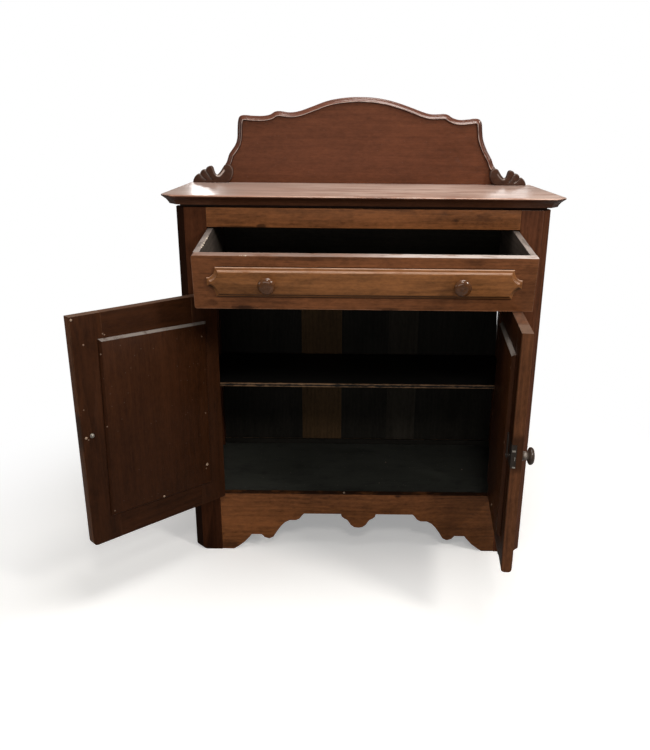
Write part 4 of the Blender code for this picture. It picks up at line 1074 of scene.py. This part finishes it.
class CABINET_OT_catch(Undoable, bpy.types.Operator):
    """Finish the turning catch and turn its stud"""
    bl_idname = "cabinet.catch"
    bl_label = "Catch"

    def execute(self, context):
        paint_node("catch_block", "iron")
        paint_node("catch_tongue", "iron")
        low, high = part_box("catch_stud")
        centre = PLACES["left_door"].inverted() @ ((low + high) / 2)
        angles = [math.pi / 2 * k / STUD_STEPS for k in range(STUD_STEPS)]
        head = [(0.0043 * math.cos(a), 0.0009 + 0.0036 * math.sin(a)) for a in angles] + [(0.0003, 0.0045)]
        bm = turned([*STUD_FOOT, *head], STUD_SIDES, (centre.x, BOARD_SEAT + DOOR_PROUD, centre.z), (0, 1, 0))
        finished("catch_stud_steel", bm, "left_door", ["steel"], "Y", ["catch_stud"])
        return {"FINISHED"}


class CABINET_OT_catch_details(Undoable, bpy.types.Operator):
    """Build the worn plates round the catch"""
    bl_idname = "cabinet.catch_details"
    bl_label = "Catch plates"

    def execute(self, context):
        bm = bmesh.new()
        for t0, t1, z0, z1 in CATCH_PLATES:
            ring_solid([[door_point("right_door", DOOR_FREE_EDGE + out, t, z) for t, z in
                         ((t0 + eased, z0 + eased), (t1 - eased, z0 + eased), (t1 - eased, z1 - eased),
                          (t0 + eased, z1 - eased))]
                        for out, eased in ((-0.0004, 0.0), (0.0005, 0.0), (0.0009, 0.0004))], bm)
        finished("catch_plates", bm, "right_door", ["steel"], "Z")
        return {"FINISHED"}


# ---------------------------------------------------------------- drawer

PANEL_NOTCH_ACROSS, PANEL_NOTCH_UP = 0.0195, 0.0240
# The planted panel's small ogee, as how far in and how proud, from its foot to its face
PANEL_PROFILE = ((0.0000, 0.00), (0.0000, 0.28), (0.0006, 0.36), (0.0018, 0.44), (0.0034, 0.50), (0.0050, 0.58),
                 (0.0062, 0.68), (0.0068, 0.76), (0.0070, 0.80), (0.0080, 0.80), (0.0084, 0.96), (0.0092, 1.00))


def drawer_corner(edge):
    """The worn lower left corner of the drawer front, through its thickness."""
    first, last = edge.verts
    low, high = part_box("drawer_front")
    return max(first.co.x, last.co.x) < low.x + 0.002 and abs(first.co.y - last.co.y) > 0.01 \
        and first.co.z < (low.z + high.z) / 2 - 0.02


class CABINET_OT_drawer(Undoable, bpy.types.Operator):
    """Dress the drawer's front, sides, back and bottom"""
    bl_idname = "cabinet.drawer"
    bl_label = "Drawer"

    def execute(self, context):
        dressed("drawer_front", "drawer front", "X", 0.0013, shortest=0.030, knocked=drawer_corner, blunt=0.0065)
        dressed("drawer_side_left", "drawer wood", "Y", 0.0012)
        dressed("drawer_side_right", "drawer wood", "Y", 0.0012)
        dressed("drawer_back", "inner", "X", 0.0010)
        dressed("drawer_bottom", "inner", "X", 0.0005)
        return {"FINISHED"}


def notched(half_wide, half_high, depth, steps=10):
    """A rectangle with a hollow quarter round at each corner, drawn in by depth."""
    a, b = PANEL_NOTCH_ACROSS + depth, PANEL_NOTCH_UP + depth
    start, end = math.asin(depth / a), math.acos(depth / b)
    angles = [start + (end - start) * k / steps for k in range(steps + 1)]
    quarter = [(half_wide - a * math.sin(angle), half_high - b * math.cos(angle)) for angle in angles]
    quarter[0] = (half_wide - depth, quarter[0][1])
    quarter[-1] = (quarter[-1][0], half_high - depth)
    left = [(-x, z) for x, z in reversed(quarter)]
    return quarter + left + [(-x, -z) for x, z in quarter] + [(x, -z) for x, z in reversed(quarter)]


class CABINET_OT_drawer_panel(Undoable, bpy.types.Operator):
    """Build the panel planted on the drawer: a small ogee all round, with hollow corners"""
    bl_idname = "cabinet.drawer_panel"
    bl_label = "Drawer panel"

    def execute(self, context):
        low, high = own_box("drawer_front_panel")
        middle = (low.z + high.z) / 2
        rings = [[(x, high.y + (low.y - high.y) * proud, middle + z)
                  for x, z in notched(high.x, (high.z - low.z) / 2, depth)] for depth, proud in PANEL_PROFILE]
        finished("drawer_front_panel_wood", ring_solid(rings), "drawer", ["planted panel"], "X",
                 ["drawer_front_panel"], smooth=28)
        return {"FINISHED"}


# ---------------------------------------------------------------- knobs

KNOB_RADIUS, KNOB_LENGTH = 0.0195, 0.029
SPIGOT_RADIUS, SPIGOT_LENGTH = 0.0060, 0.020
# A knob's profile from its foot to the middle of its face, as shares of radius and length
KNOB_SHARES = ((0.640, 0.000), (0.650, 0.050), (0.600, 0.100), (0.500, 0.200), (0.465, 0.320), (0.500, 0.420),
               (0.640, 0.480), (0.820, 0.535), (0.950, 0.600), (1.000, 0.680), (0.990, 0.750), (0.940, 0.820),
               (0.850, 0.880), (0.720, 0.930), (0.560, 0.960), (0.400, 0.975), (0.270, 0.980), (0.190, 0.972),
               (0.130, 0.975), (0.060, 1.000), (0.010, 1.000))


class CABINET_OT_knobs(Undoable, bpy.types.Operator):
    """Turn the three wooden knobs"""
    bl_idname = "cabinet.knobs"
    bl_label = "Knobs"

    def execute(self, context):
        sides = context.scene.cabinet_sizes.knob_rings
        shaped = [(KNOB_RADIUS * a, KNOB_LENGTH * b) for a, b in curve_through(KNOB_SHARES, 3)]
        spigot = [(SPIGOT_RADIUS, -SPIGOT_LENGTH), (SPIGOT_RADIUS, 0.0)]
        for node, profile, material in (("drawer_knob_left", spigot + shaped, "knob"),
                                        ("drawer_knob_right", spigot + shaped, "knob"),
                                        ("right_door_knob", shaped, "old knob")):
            low, high = own_box(node)
            foot = ((low.x + high.x) / 2, low.y + KNOB_LENGTH, (low.z + high.z) / 2)
            # A painted highlight round the knob's neck, which only the old knob's finish shows
            neck_highlight = [math.exp(-((along / KNOB_LENGTH - 0.33) / 0.13) ** 2) for _, along in profile
                    for _ in range(sides)]
            finished(f"{node}_turning", turned(profile, sides, foot, (0, -1, 0)), BODY_OF[node], [material], "Y",
                     [node], smooth=40, worn=neck_highlight)
        return {"FINISHED"}


# ---------------------------------------------------------------- nails, screws and pale chips

# What a head is made from, in the order in which scatter_heads takes the values
HEAD_INPUTS = (("Radius", "NodeSocketFloat"), ("Height", "NodeSocketFloat"), ("Top share", "NodeSocketFloat"),
               ("Sides", "NodeSocketInt"), ("Size spread", "NodeSocketFloat"), ("Seed", "NodeSocketInt"),
               ("Finish", "NodeSocketMaterial"))


def fastener_tree(slotted):
    """Geometry nodes that put a head on each point of a mesh, facing along its own direction."""
    group = bpy.data.node_groups.new("slotted heads" if slotted else "plain heads", "GeometryNodeTree")
    group.interface.new_socket("Geometry", in_out="OUTPUT", socket_type="NodeSocketGeometry")
    group.interface.new_socket("Geometry", in_out="INPUT", socket_type="NodeSocketGeometry")
    sockets = [group.interface.new_socket(label, in_out="INPUT", socket_type=kind) for label, kind in HEAD_INPUTS]
    tree = Tree(group)
    given = tree.node("NodeGroupInput").outputs
    radius, height, seed = given["Radius"], given["Height"], given["Seed"]
    head = tree.node("GeometryNodeMeshCone", None, {
        "Vertices": given["Sides"], "Radius Top": tree.maths("MULTIPLY", radius, given["Top share"]),
        "Radius Bottom": radius, "Depth": height}).outputs["Mesh"]
    if slotted:
        size = tree.node("ShaderNodeCombineXYZ", None, {
            0: tree.maths("MULTIPLY", radius, 1.5), 1: tree.maths("MULTIPLY", radius, 0.24),
            2: tree.maths("MULTIPLY", height, 2.2)})
        slot = tree.node("GeometryNodeMeshCube", None, {"Size": size.outputs[0]})
        rise = tree.node("ShaderNodeCombineXYZ", None, {2: height})
        raised = tree.node("GeometryNodeTransform", None, {"Geometry": slot.outputs["Mesh"],
                                                           "Translation": rise.outputs[0]})
        head = tree.node("GeometryNodeMeshBoolean", {"operation": "DIFFERENCE", "solver": "EXACT"},
                         {"Mesh 1": head, "Mesh 2": raised.outputs["Geometry"]}).outputs["Mesh"]
    facing = tree.node("GeometryNodeInputNamedAttribute", {"data_type": "FLOAT_VECTOR"}, {"Name": "facing"})
    align = tree.node("FunctionNodeAlignRotationToVector", {"axis": "Z"}, {"Vector": facing.outputs["Attribute"]})
    turn = tree.node("FunctionNodeRandomValue", {"data_type": "FLOAT_VECTOR"}, {1: (0.0, 0.0, 6.28), "Seed": seed})
    spin = tree.node("FunctionNodeRotateRotation", {"rotation_space": "LOCAL"},
                     {0: align.outputs[0], 1: turn.outputs[0]})
    spread = tree.node("FunctionNodeRandomValue", {"data_type": "FLOAT"}, {
        2: tree.maths("SUBTRACT", 1.0, given["Size spread"]), 3: tree.maths("ADD", 1.0, given["Size spread"]),
        "Seed": seed})
    put = tree.node("GeometryNodeInstanceOnPoints", None, {
        "Points": given["Geometry"], "Instance": head, "Rotation": spin.outputs[0], "Scale": spread.outputs[1]})
    whole = tree.node("GeometryNodeRealizeInstances", None, {0: put.outputs[0]})
    paint = tree.node("GeometryNodeSetMaterial", None, {"Geometry": whole.outputs[0], "Material": given["Finish"]})
    tree.node("NodeGroupOutput", None, {0: paint.outputs[0]})
    return group, [socket.identifier for socket in sockets]


def scatter_heads(name, body, spots, material, values, slotted=False):
    """Heads at (place, direction) pairs in a body's own place, as one plain mesh."""
    group, names = fastener_tree(slotted)
    mesh = bpy.data.meshes.new(name)
    mesh.from_pydata([tuple(p) for p, _ in spots], [], [])
    add_attribute(mesh, "facing", [tuple(Vector(d).normalized()) for _, d in spots])
    piece = bpy.data.objects.new(name, mesh)
    bpy.context.scene.collection.objects.link(piece)
    step = piece.modifiers.new("heads", "NODES")
    step.node_group = group
    for identifier, value in zip(names, (*values, MATERIALS[material])):
        step[identifier] = value
    bpy.context.view_layer.update()
    plain = bpy.data.meshes.new_from_object(piece.evaluated_get(bpy.context.evaluated_depsgraph_get()))
    piece.modifiers.clear()
    piece.data = plain
    plain.name = name
    plain.transform(PLACES[body])
    if not plain.polygons:
        raise RuntimeError(f"{name} came out empty")
    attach(piece, body)


SCREW_SINK, SCREW_PITCH = 0.00056, 0.022
# How far the middle screw and the outer two lie from a leaf's back edge
MIDDLE_SCREW_IN, OUTER_SCREW_IN = 0.0105, 0.0055


def hinge_screws(side, which):
    """Screw spots on the hinge leaves of one door or of its post, in the body's own place."""
    way = DOOR_WAY[f"{side}_door"]
    facing = -way if which == "door" else way
    centre = 0.0 if which == "door" else (-1 if side == "left" else 1) * JOINTS["right_door_hinge"]["pos_m"][0]
    spots = []
    for level in ("lower", "upper"):
        low, high = own_box(f"{side}_{level}_{which}_leaf")
        for dz in (-SCREW_PITCH, 0.0, SCREW_PITCH):
            spots.append(((centre - facing * SCREW_SINK, high.y - (OUTER_SCREW_IN if dz else MIDDLE_SCREW_IN),
                           (low.z + high.z) / 2 + dz), (facing, 0, 0)))
    return spots


class CABINET_OT_screws(Undoable, bpy.types.Operator):
    """Set the screws in the hinge leaves"""
    bl_idname = "cabinet.screws"
    bl_label = "Hinge screws"

    def execute(self, context):
        screw = (context.scene.cabinet_sizes.screw_radius, 0.0005, 0.72, 14, 0.0, 3)
        for name, body, spots in (
                ("post_hinge_screws", "carcass", hinge_screws("left", "frame") + hinge_screws("right", "frame")),
                ("left_hinge_screws", "left_door", hinge_screws("left", "door")),
                ("right_hinge_screws", "right_door", hinge_screws("right", "door"))):
            scatter_heads(name, body, spots, "brass", screw, slotted=True)
        return {"FINISHED"}


# How high the nails are in the back boards, the side panels and the drawer's sides
BACK_NAILS, SIDE_NAILS, DRAWER_NAILS = (0.020, 0.155, 0.456, 0.930), (0.155, 0.451, 0.752), (0.035, 0.075, 0.100)
DRAWER_NAIL_DEPTHS, DRAWER_FLANK = (0.3662, 0.0330), 0.3783
NAIL_PROUD = 0.0002


class CABINET_OT_nails(Undoable, bpy.types.Operator):
    """Set the nails in the back, the sides and the drawer"""
    bl_idname = "cabinet.nails"
    bl_label = "Nails"

    def execute(self, context):
        nail = (context.scene.cabinet_sizes.nail_radius, 0.0010, 0.75, 9, 0.18, 11)
        spots = []
        for number in range(1, 6):
            low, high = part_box(f"back_board_{number}")
            wide = high.x - low.x
            for x in ((low.x + wide * 0.22, high.x - wide * 0.22) if wide > 0.1 else ((low.x + high.x) / 2,)):
                for z in BACK_NAILS:
                    spots.append(((x + 0.004 * math.sin(z * 40 + number), NAIL_PROUD, z), (0, 1, 0)))
        for side, name in ((-1, "left"), (1, "right")):
            low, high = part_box(f"side_panel_{name}")
            face = low.x if side < 0 else high.x
            for y in (low.y + 0.02, (low.y + high.y) / 2, high.y - 0.02):
                for z in SIDE_NAILS:
                    spots.append(((face + side * NAIL_PROUD, y, z + 0.003 * math.sin(y * 90)), (side, 0, 0)))
        scatter_heads("carcass_nails", "carcass", spots, "nail", nail)
        spots = [((side * DRAWER_FLANK, y, z), (side, 0, 0)) for side in (-1, 1) for z in DRAWER_NAILS
                 for y in DRAWER_NAIL_DEPTHS]
        scatter_heads("drawer_nails", "drawer", spots, "nail", nail)
        return {"FINISHED"}


# Chips on the drawer: back along the left side's rim, and across on the front's rim
RIM_CHIPS = (0.062, 0.069, 0.077, 0.094, 0.101, 0.108, 0.118, 0.131, 0.139, 0.150)
FRONT_CHIPS = (-0.272, -0.268, -0.263, -0.259, -0.254)
# Filled nail holes and bare chips on the doors' backs: across, up, the face that they are in, and whether large.
# Their order decides each one's random size and turn.
FRAME_FACE, BOARD_FACE = 0.0241, 0.0334
FILLS = ((0.3725, 0.7315, FRAME_FACE, True), (0.318, 0.646, BOARD_FACE, False), (0.351, 0.672, FRAME_FACE, False),
         (0.300, 0.686, FRAME_FACE, False), (0.304, 0.689, FRAME_FACE, False), (0.320, 0.474, BOARD_FACE, False),
         (0.054, 0.638, BOARD_FACE, False), (0.0545, 0.437, BOARD_FACE, False), (0.0586, 0.295, BOARD_FACE, True),
         (0.062, 0.285, BOARD_FACE, False), (0.189, 0.249, BOARD_FACE, True), (0.322, 0.258, BOARD_FACE, False),
         (0.3680, 0.4560, FRAME_FACE, True), (0.3630, 0.4505, FRAME_FACE, False), (0.3665, 0.524, FRAME_FACE, False))
FLAKES = ((0.31, -0.205), (0.06, -0.30), (0.085, -0.16))
FLAKE_HEIGHT = 0.1625


class CABINET_OT_chips(Undoable, bpy.types.Operator):
    """Set the filled holes, pale chips and flakes, and the pin on the apron"""
    bl_idname = "cabinet.chips"
    bl_label = "Fills and chips"

    def execute(self, context):
        up = (0, 0, 1)
        _, side = own_box("drawer_side_left")
        low, high = own_box("drawer_front")
        chips = [((side.x - 0.0010, y, side.z - 0.0004), (0.45, 0, 1)) for y in RIM_CHIPS]
        chips += [((x, low.y + 0.0022, high.z - 0.0006), (0, -0.3, 1)) for x in FRONT_CHIPS]
        scatter_heads("drawer_rim_chips", "drawer", chips, "chip", (0.0022, 0.0007, 0.6, 6, 0.45, 9))

        for body, faces in (("left_door", (FRAME_FACE, BOARD_FACE)), ("right_door", (BOARD_FACE,))):
            for label, large, material, radius in (("small", False, "old putty", 0.0018),
                                                   ("large", True, "putty", 0.0029)):
                spots = [(door_point(body, across, face, z), (0, 1, 0)) for across, z, face, is_large in FILLS
                         if is_large == large and face in faces]
                scatter_heads(f"{body}_{label}_fills", body, spots, material,
                              (radius, 0.0005, 0.7, 7, 0.3, 5))

        scatter_heads("apron_pin", "carcass", [((-0.040, -0.388, 0.1755), up)], "putty",
                      (0.0034, 0.0038, 0.4, 8, 0.0, 2))
        scatter_heads("bottom_board_flakes", "carcass", [((x, y, FLAKE_HEIGHT), up) for x, y in FLAKES], "putty",
                      (0.0018, 0.0006, 0.5, 6, 0.3, 4))
        return {"FINISHED"}


# ---------------------------------------------------------------- stage

WARM, MILD, PLAIN = (1.0, 0.96, 0.90), (1.0, 0.97, 0.93), (1.0, 1.0, 1.0)
# Each lamp's name, place, target, width and height, power and colour. The windows shine on the top board.
LAMPS = (
    ("front light", (0.15, -2.75, 2.35), (0.0, -0.40, 0.60), (0.4, 0.4), 14, WARM),
    ("side light", (1.95, -2.05, 2.10), (0.0, -0.40, 0.60), (0.5, 0.5), 32, WARM),
    ("left light", (-2.40, -1.50, 1.10), (0.4, -0.40, 0.45), (0.6, 0.6), 4, MILD),
    ("ceiling light", (0.35, -0.75, 2.75), (0.0, -0.35, 0.80), (1.6, 0.9), 38, MILD),
    ("low light", (-0.30, -2.75, 0.85), (0.0, 0.0, 0.45), (1.4, 0.5), 4.2, MILD),
    ("rear light", (0.7, 2.70, 0.58), (0.0, 0.0, 0.60), (1.8, 0.6), 22, MILD),
    ("left window", (-0.768, 1.50, 1.29), (-0.60, -0.20, 0.97), (0.088, 0.20), 0.82, PLAIN),
    ("right window", (0.728, 1.50, 1.29), (0.40, -0.20, 0.97), (0.25, 0.20), 0.34, PLAIN),
)
SKY_STRENGTH = 0.21
CAMERA_PLACE = (-0.0391, -2.2386, 1.1368)
CAMERA_YAW, CAMERA_PITCH, CAMERA_ROLL = -0.001, 0.338, -0.010
CAMERA_LENS, CAMERA_SHIFT = 36.09, (-0.0264, 0.0148)


def make_floor():
    """A plain pale floor that keeps the cabinet's shadow and fades to white away from it."""
    mesh = bpy.data.meshes.new("studio_floor")
    bm = bmesh.new()
    bmesh.ops.create_circle(bm, cap_ends=True, segments=96, radius=14.0)
    bm.to_mesh(mesh)
    bm.free()
    paper = Finish("studio floor")
    spot = paper.spot()
    seen = Level(paper, paper.node("ShaderNodeLightPath").outputs["Is Camera Ray"])
    x, y, _ = paper.parts(spot)
    away = paper.maths("SQRT", x * x + (y + 0.35) * (y + 0.35))
    paper.finish(Base_Color=paper.mix(seen, (0.35, 0.35, 0.35), (0.95, 0.95, 0.95)),
                 Roughness=0.85 + paper.noise(spot, (60, 60, 60), 3) * 0.1, Specular_IOR_Level=0.0,
                 Emission_Color=paper.mix(seen, (0, 0, 0), (1, 1, 1)), Emission_Strength=0.30)
    white = paper.node("ShaderNodeEmission", None, {"Color": PLAIN, "Strength": 1.0})
    blend = paper.node("ShaderNodeMixShader", None, {0: paper.step(away, 0.75, 1.45) * seen,
                                                     1: paper.shader.outputs[0], 2: white.outputs[0]})
    paper.plug(paper.nodes["Material Output"].inputs["Surface"], blend.outputs[0])
    mesh.materials.append(paper.material)
    floor = bpy.data.objects.new("studio_floor", mesh)
    bpy.context.scene.collection.objects.link(floor)


def make_sky():
    """A soft even light, which the camera sees as white."""
    world = bpy.data.worlds.new("studio")
    bpy.context.scene.world = world
    world.use_nodes = True
    sky = Tree(world.node_tree)
    sky.nodes.clear()
    path = sky.node("ShaderNodeLightPath").outputs
    soft, white = (sky.node("ShaderNodeBackground", None, {"Color": colour, "Strength": strength}).outputs[0]
                   for colour, strength in ((MILD, SKY_STRENGTH), (PLAIN, 1.0)))
    seen = sky.maths("MAXIMUM", path["Is Camera Ray"], path["Is Transmission Ray"])
    choose = sky.node("ShaderNodeMixShader", None, {0: seen, 1: soft, 2: white})
    sky.node("ShaderNodeOutputWorld", None, {"Surface": choose.outputs[0]})


def make_lamps():
    for name, place, target, (wide, high), power, colour in LAMPS:
        lamp = bpy.data.lights.new(name, "AREA")
        lamp.shape = "RECTANGLE"
        lamp.size, lamp.size_y = wide, high
        lamp.energy = power
        lamp.color = colour
        holder = bpy.data.objects.new(name, lamp)
        holder.location = place
        holder.rotation_euler = (Vector(target) - Vector(place)).to_track_quat("-Z", "Y").to_euler()
        bpy.context.scene.collection.objects.link(holder)


def make_camera():
    """The photograph's view."""
    camera = bpy.data.objects.new("camera", bpy.data.cameras.new("camera"))
    bpy.context.scene.collection.objects.link(camera)
    camera.data.sensor_width = 36.0
    camera.data.lens = CAMERA_LENS
    camera.data.shift_x, camera.data.shift_y = CAMERA_SHIFT
    yaw, pitch, roll = CAMERA_YAW, CAMERA_PITCH, CAMERA_ROLL
    ahead = Vector((math.sin(yaw) * math.cos(pitch), math.cos(yaw) * math.cos(pitch), -math.sin(pitch)))
    right = Vector((math.cos(yaw), -math.sin(yaw), 0.0))
    down = ahead.cross(right)
    across = right * math.cos(roll) + down * math.sin(roll)
    below = down * math.cos(roll) - right * math.sin(roll)
    turn = Matrix((across, -below, -ahead)).transposed()
    camera.matrix_world = Matrix.Translation(CAMERA_PLACE) @ turn.to_4x4()
    bpy.context.scene.camera = camera


class CABINET_OT_stage(Undoable, bpy.types.Operator):
    """Set the floor, lights and camera"""
    bl_idname = "cabinet.stage"
    bl_label = "Stage"

    def execute(self, context):
        make_floor()
        make_sky()
        make_lamps()
        make_camera()
        context.scene.view_settings.view_transform = "Standard"
        return {"FINISHED"}


# ---------------------------------------------------------------- panel and running order

STEPS = (CABINET_OT_finishes, CABINET_OT_top_board, CABINET_OT_splashback, CABINET_OT_ears, CABINET_OT_carcass,
         CABINET_OT_interior, CABINET_OT_apron, CABINET_OT_door_frames, CABINET_OT_door_boards, CABINET_OT_hinges,
         CABINET_OT_catch, CABINET_OT_catch_details, CABINET_OT_drawer, CABINET_OT_drawer_panel, CABINET_OT_knobs,
         CABINET_OT_screws, CABINET_OT_nails, CABINET_OT_chips, CABINET_OT_stage)


class CABINET_PT_panel(bpy.types.Panel):
    """The steps of the cabinet and the settings that they read"""
    bl_label = "Commode cabinet"
    bl_idname = "CABINET_PT_panel"
    bl_space_type = "VIEW_3D"
    bl_region_type = "UI"
    bl_category = "Cabinet"

    def draw(self, context):
        layout = self.layout
        for settings in (context.scene.cabinet_sizes, context.scene.cabinet_colours):
            for name in settings.__annotations__:
                layout.prop(settings, name)
        for step in STEPS:
            layout.operator(step.bl_idname)


CLASSES = (CabinetSizes, CabinetColours, *STEPS, CABINET_PT_panel)


def register():
    for cls in CLASSES:
        bpy.utils.register_class(cls)
    bpy.types.Scene.cabinet_sizes = bpy.props.PointerProperty(type=CabinetSizes)
    bpy.types.Scene.cabinet_colours = bpy.props.PointerProperty(type=CabinetColours)


def unregister():
    del bpy.types.Scene.cabinet_sizes
    del bpy.types.Scene.cabinet_colours
    for cls in reversed(CLASSES):
        bpy.utils.unregister_class(cls)


def main():
    register()
    for step in STEPS:
        getattr(bpy.ops.cabinet, step.bl_idname.split(".")[1])()


if __name__ == "__main__":
    main()
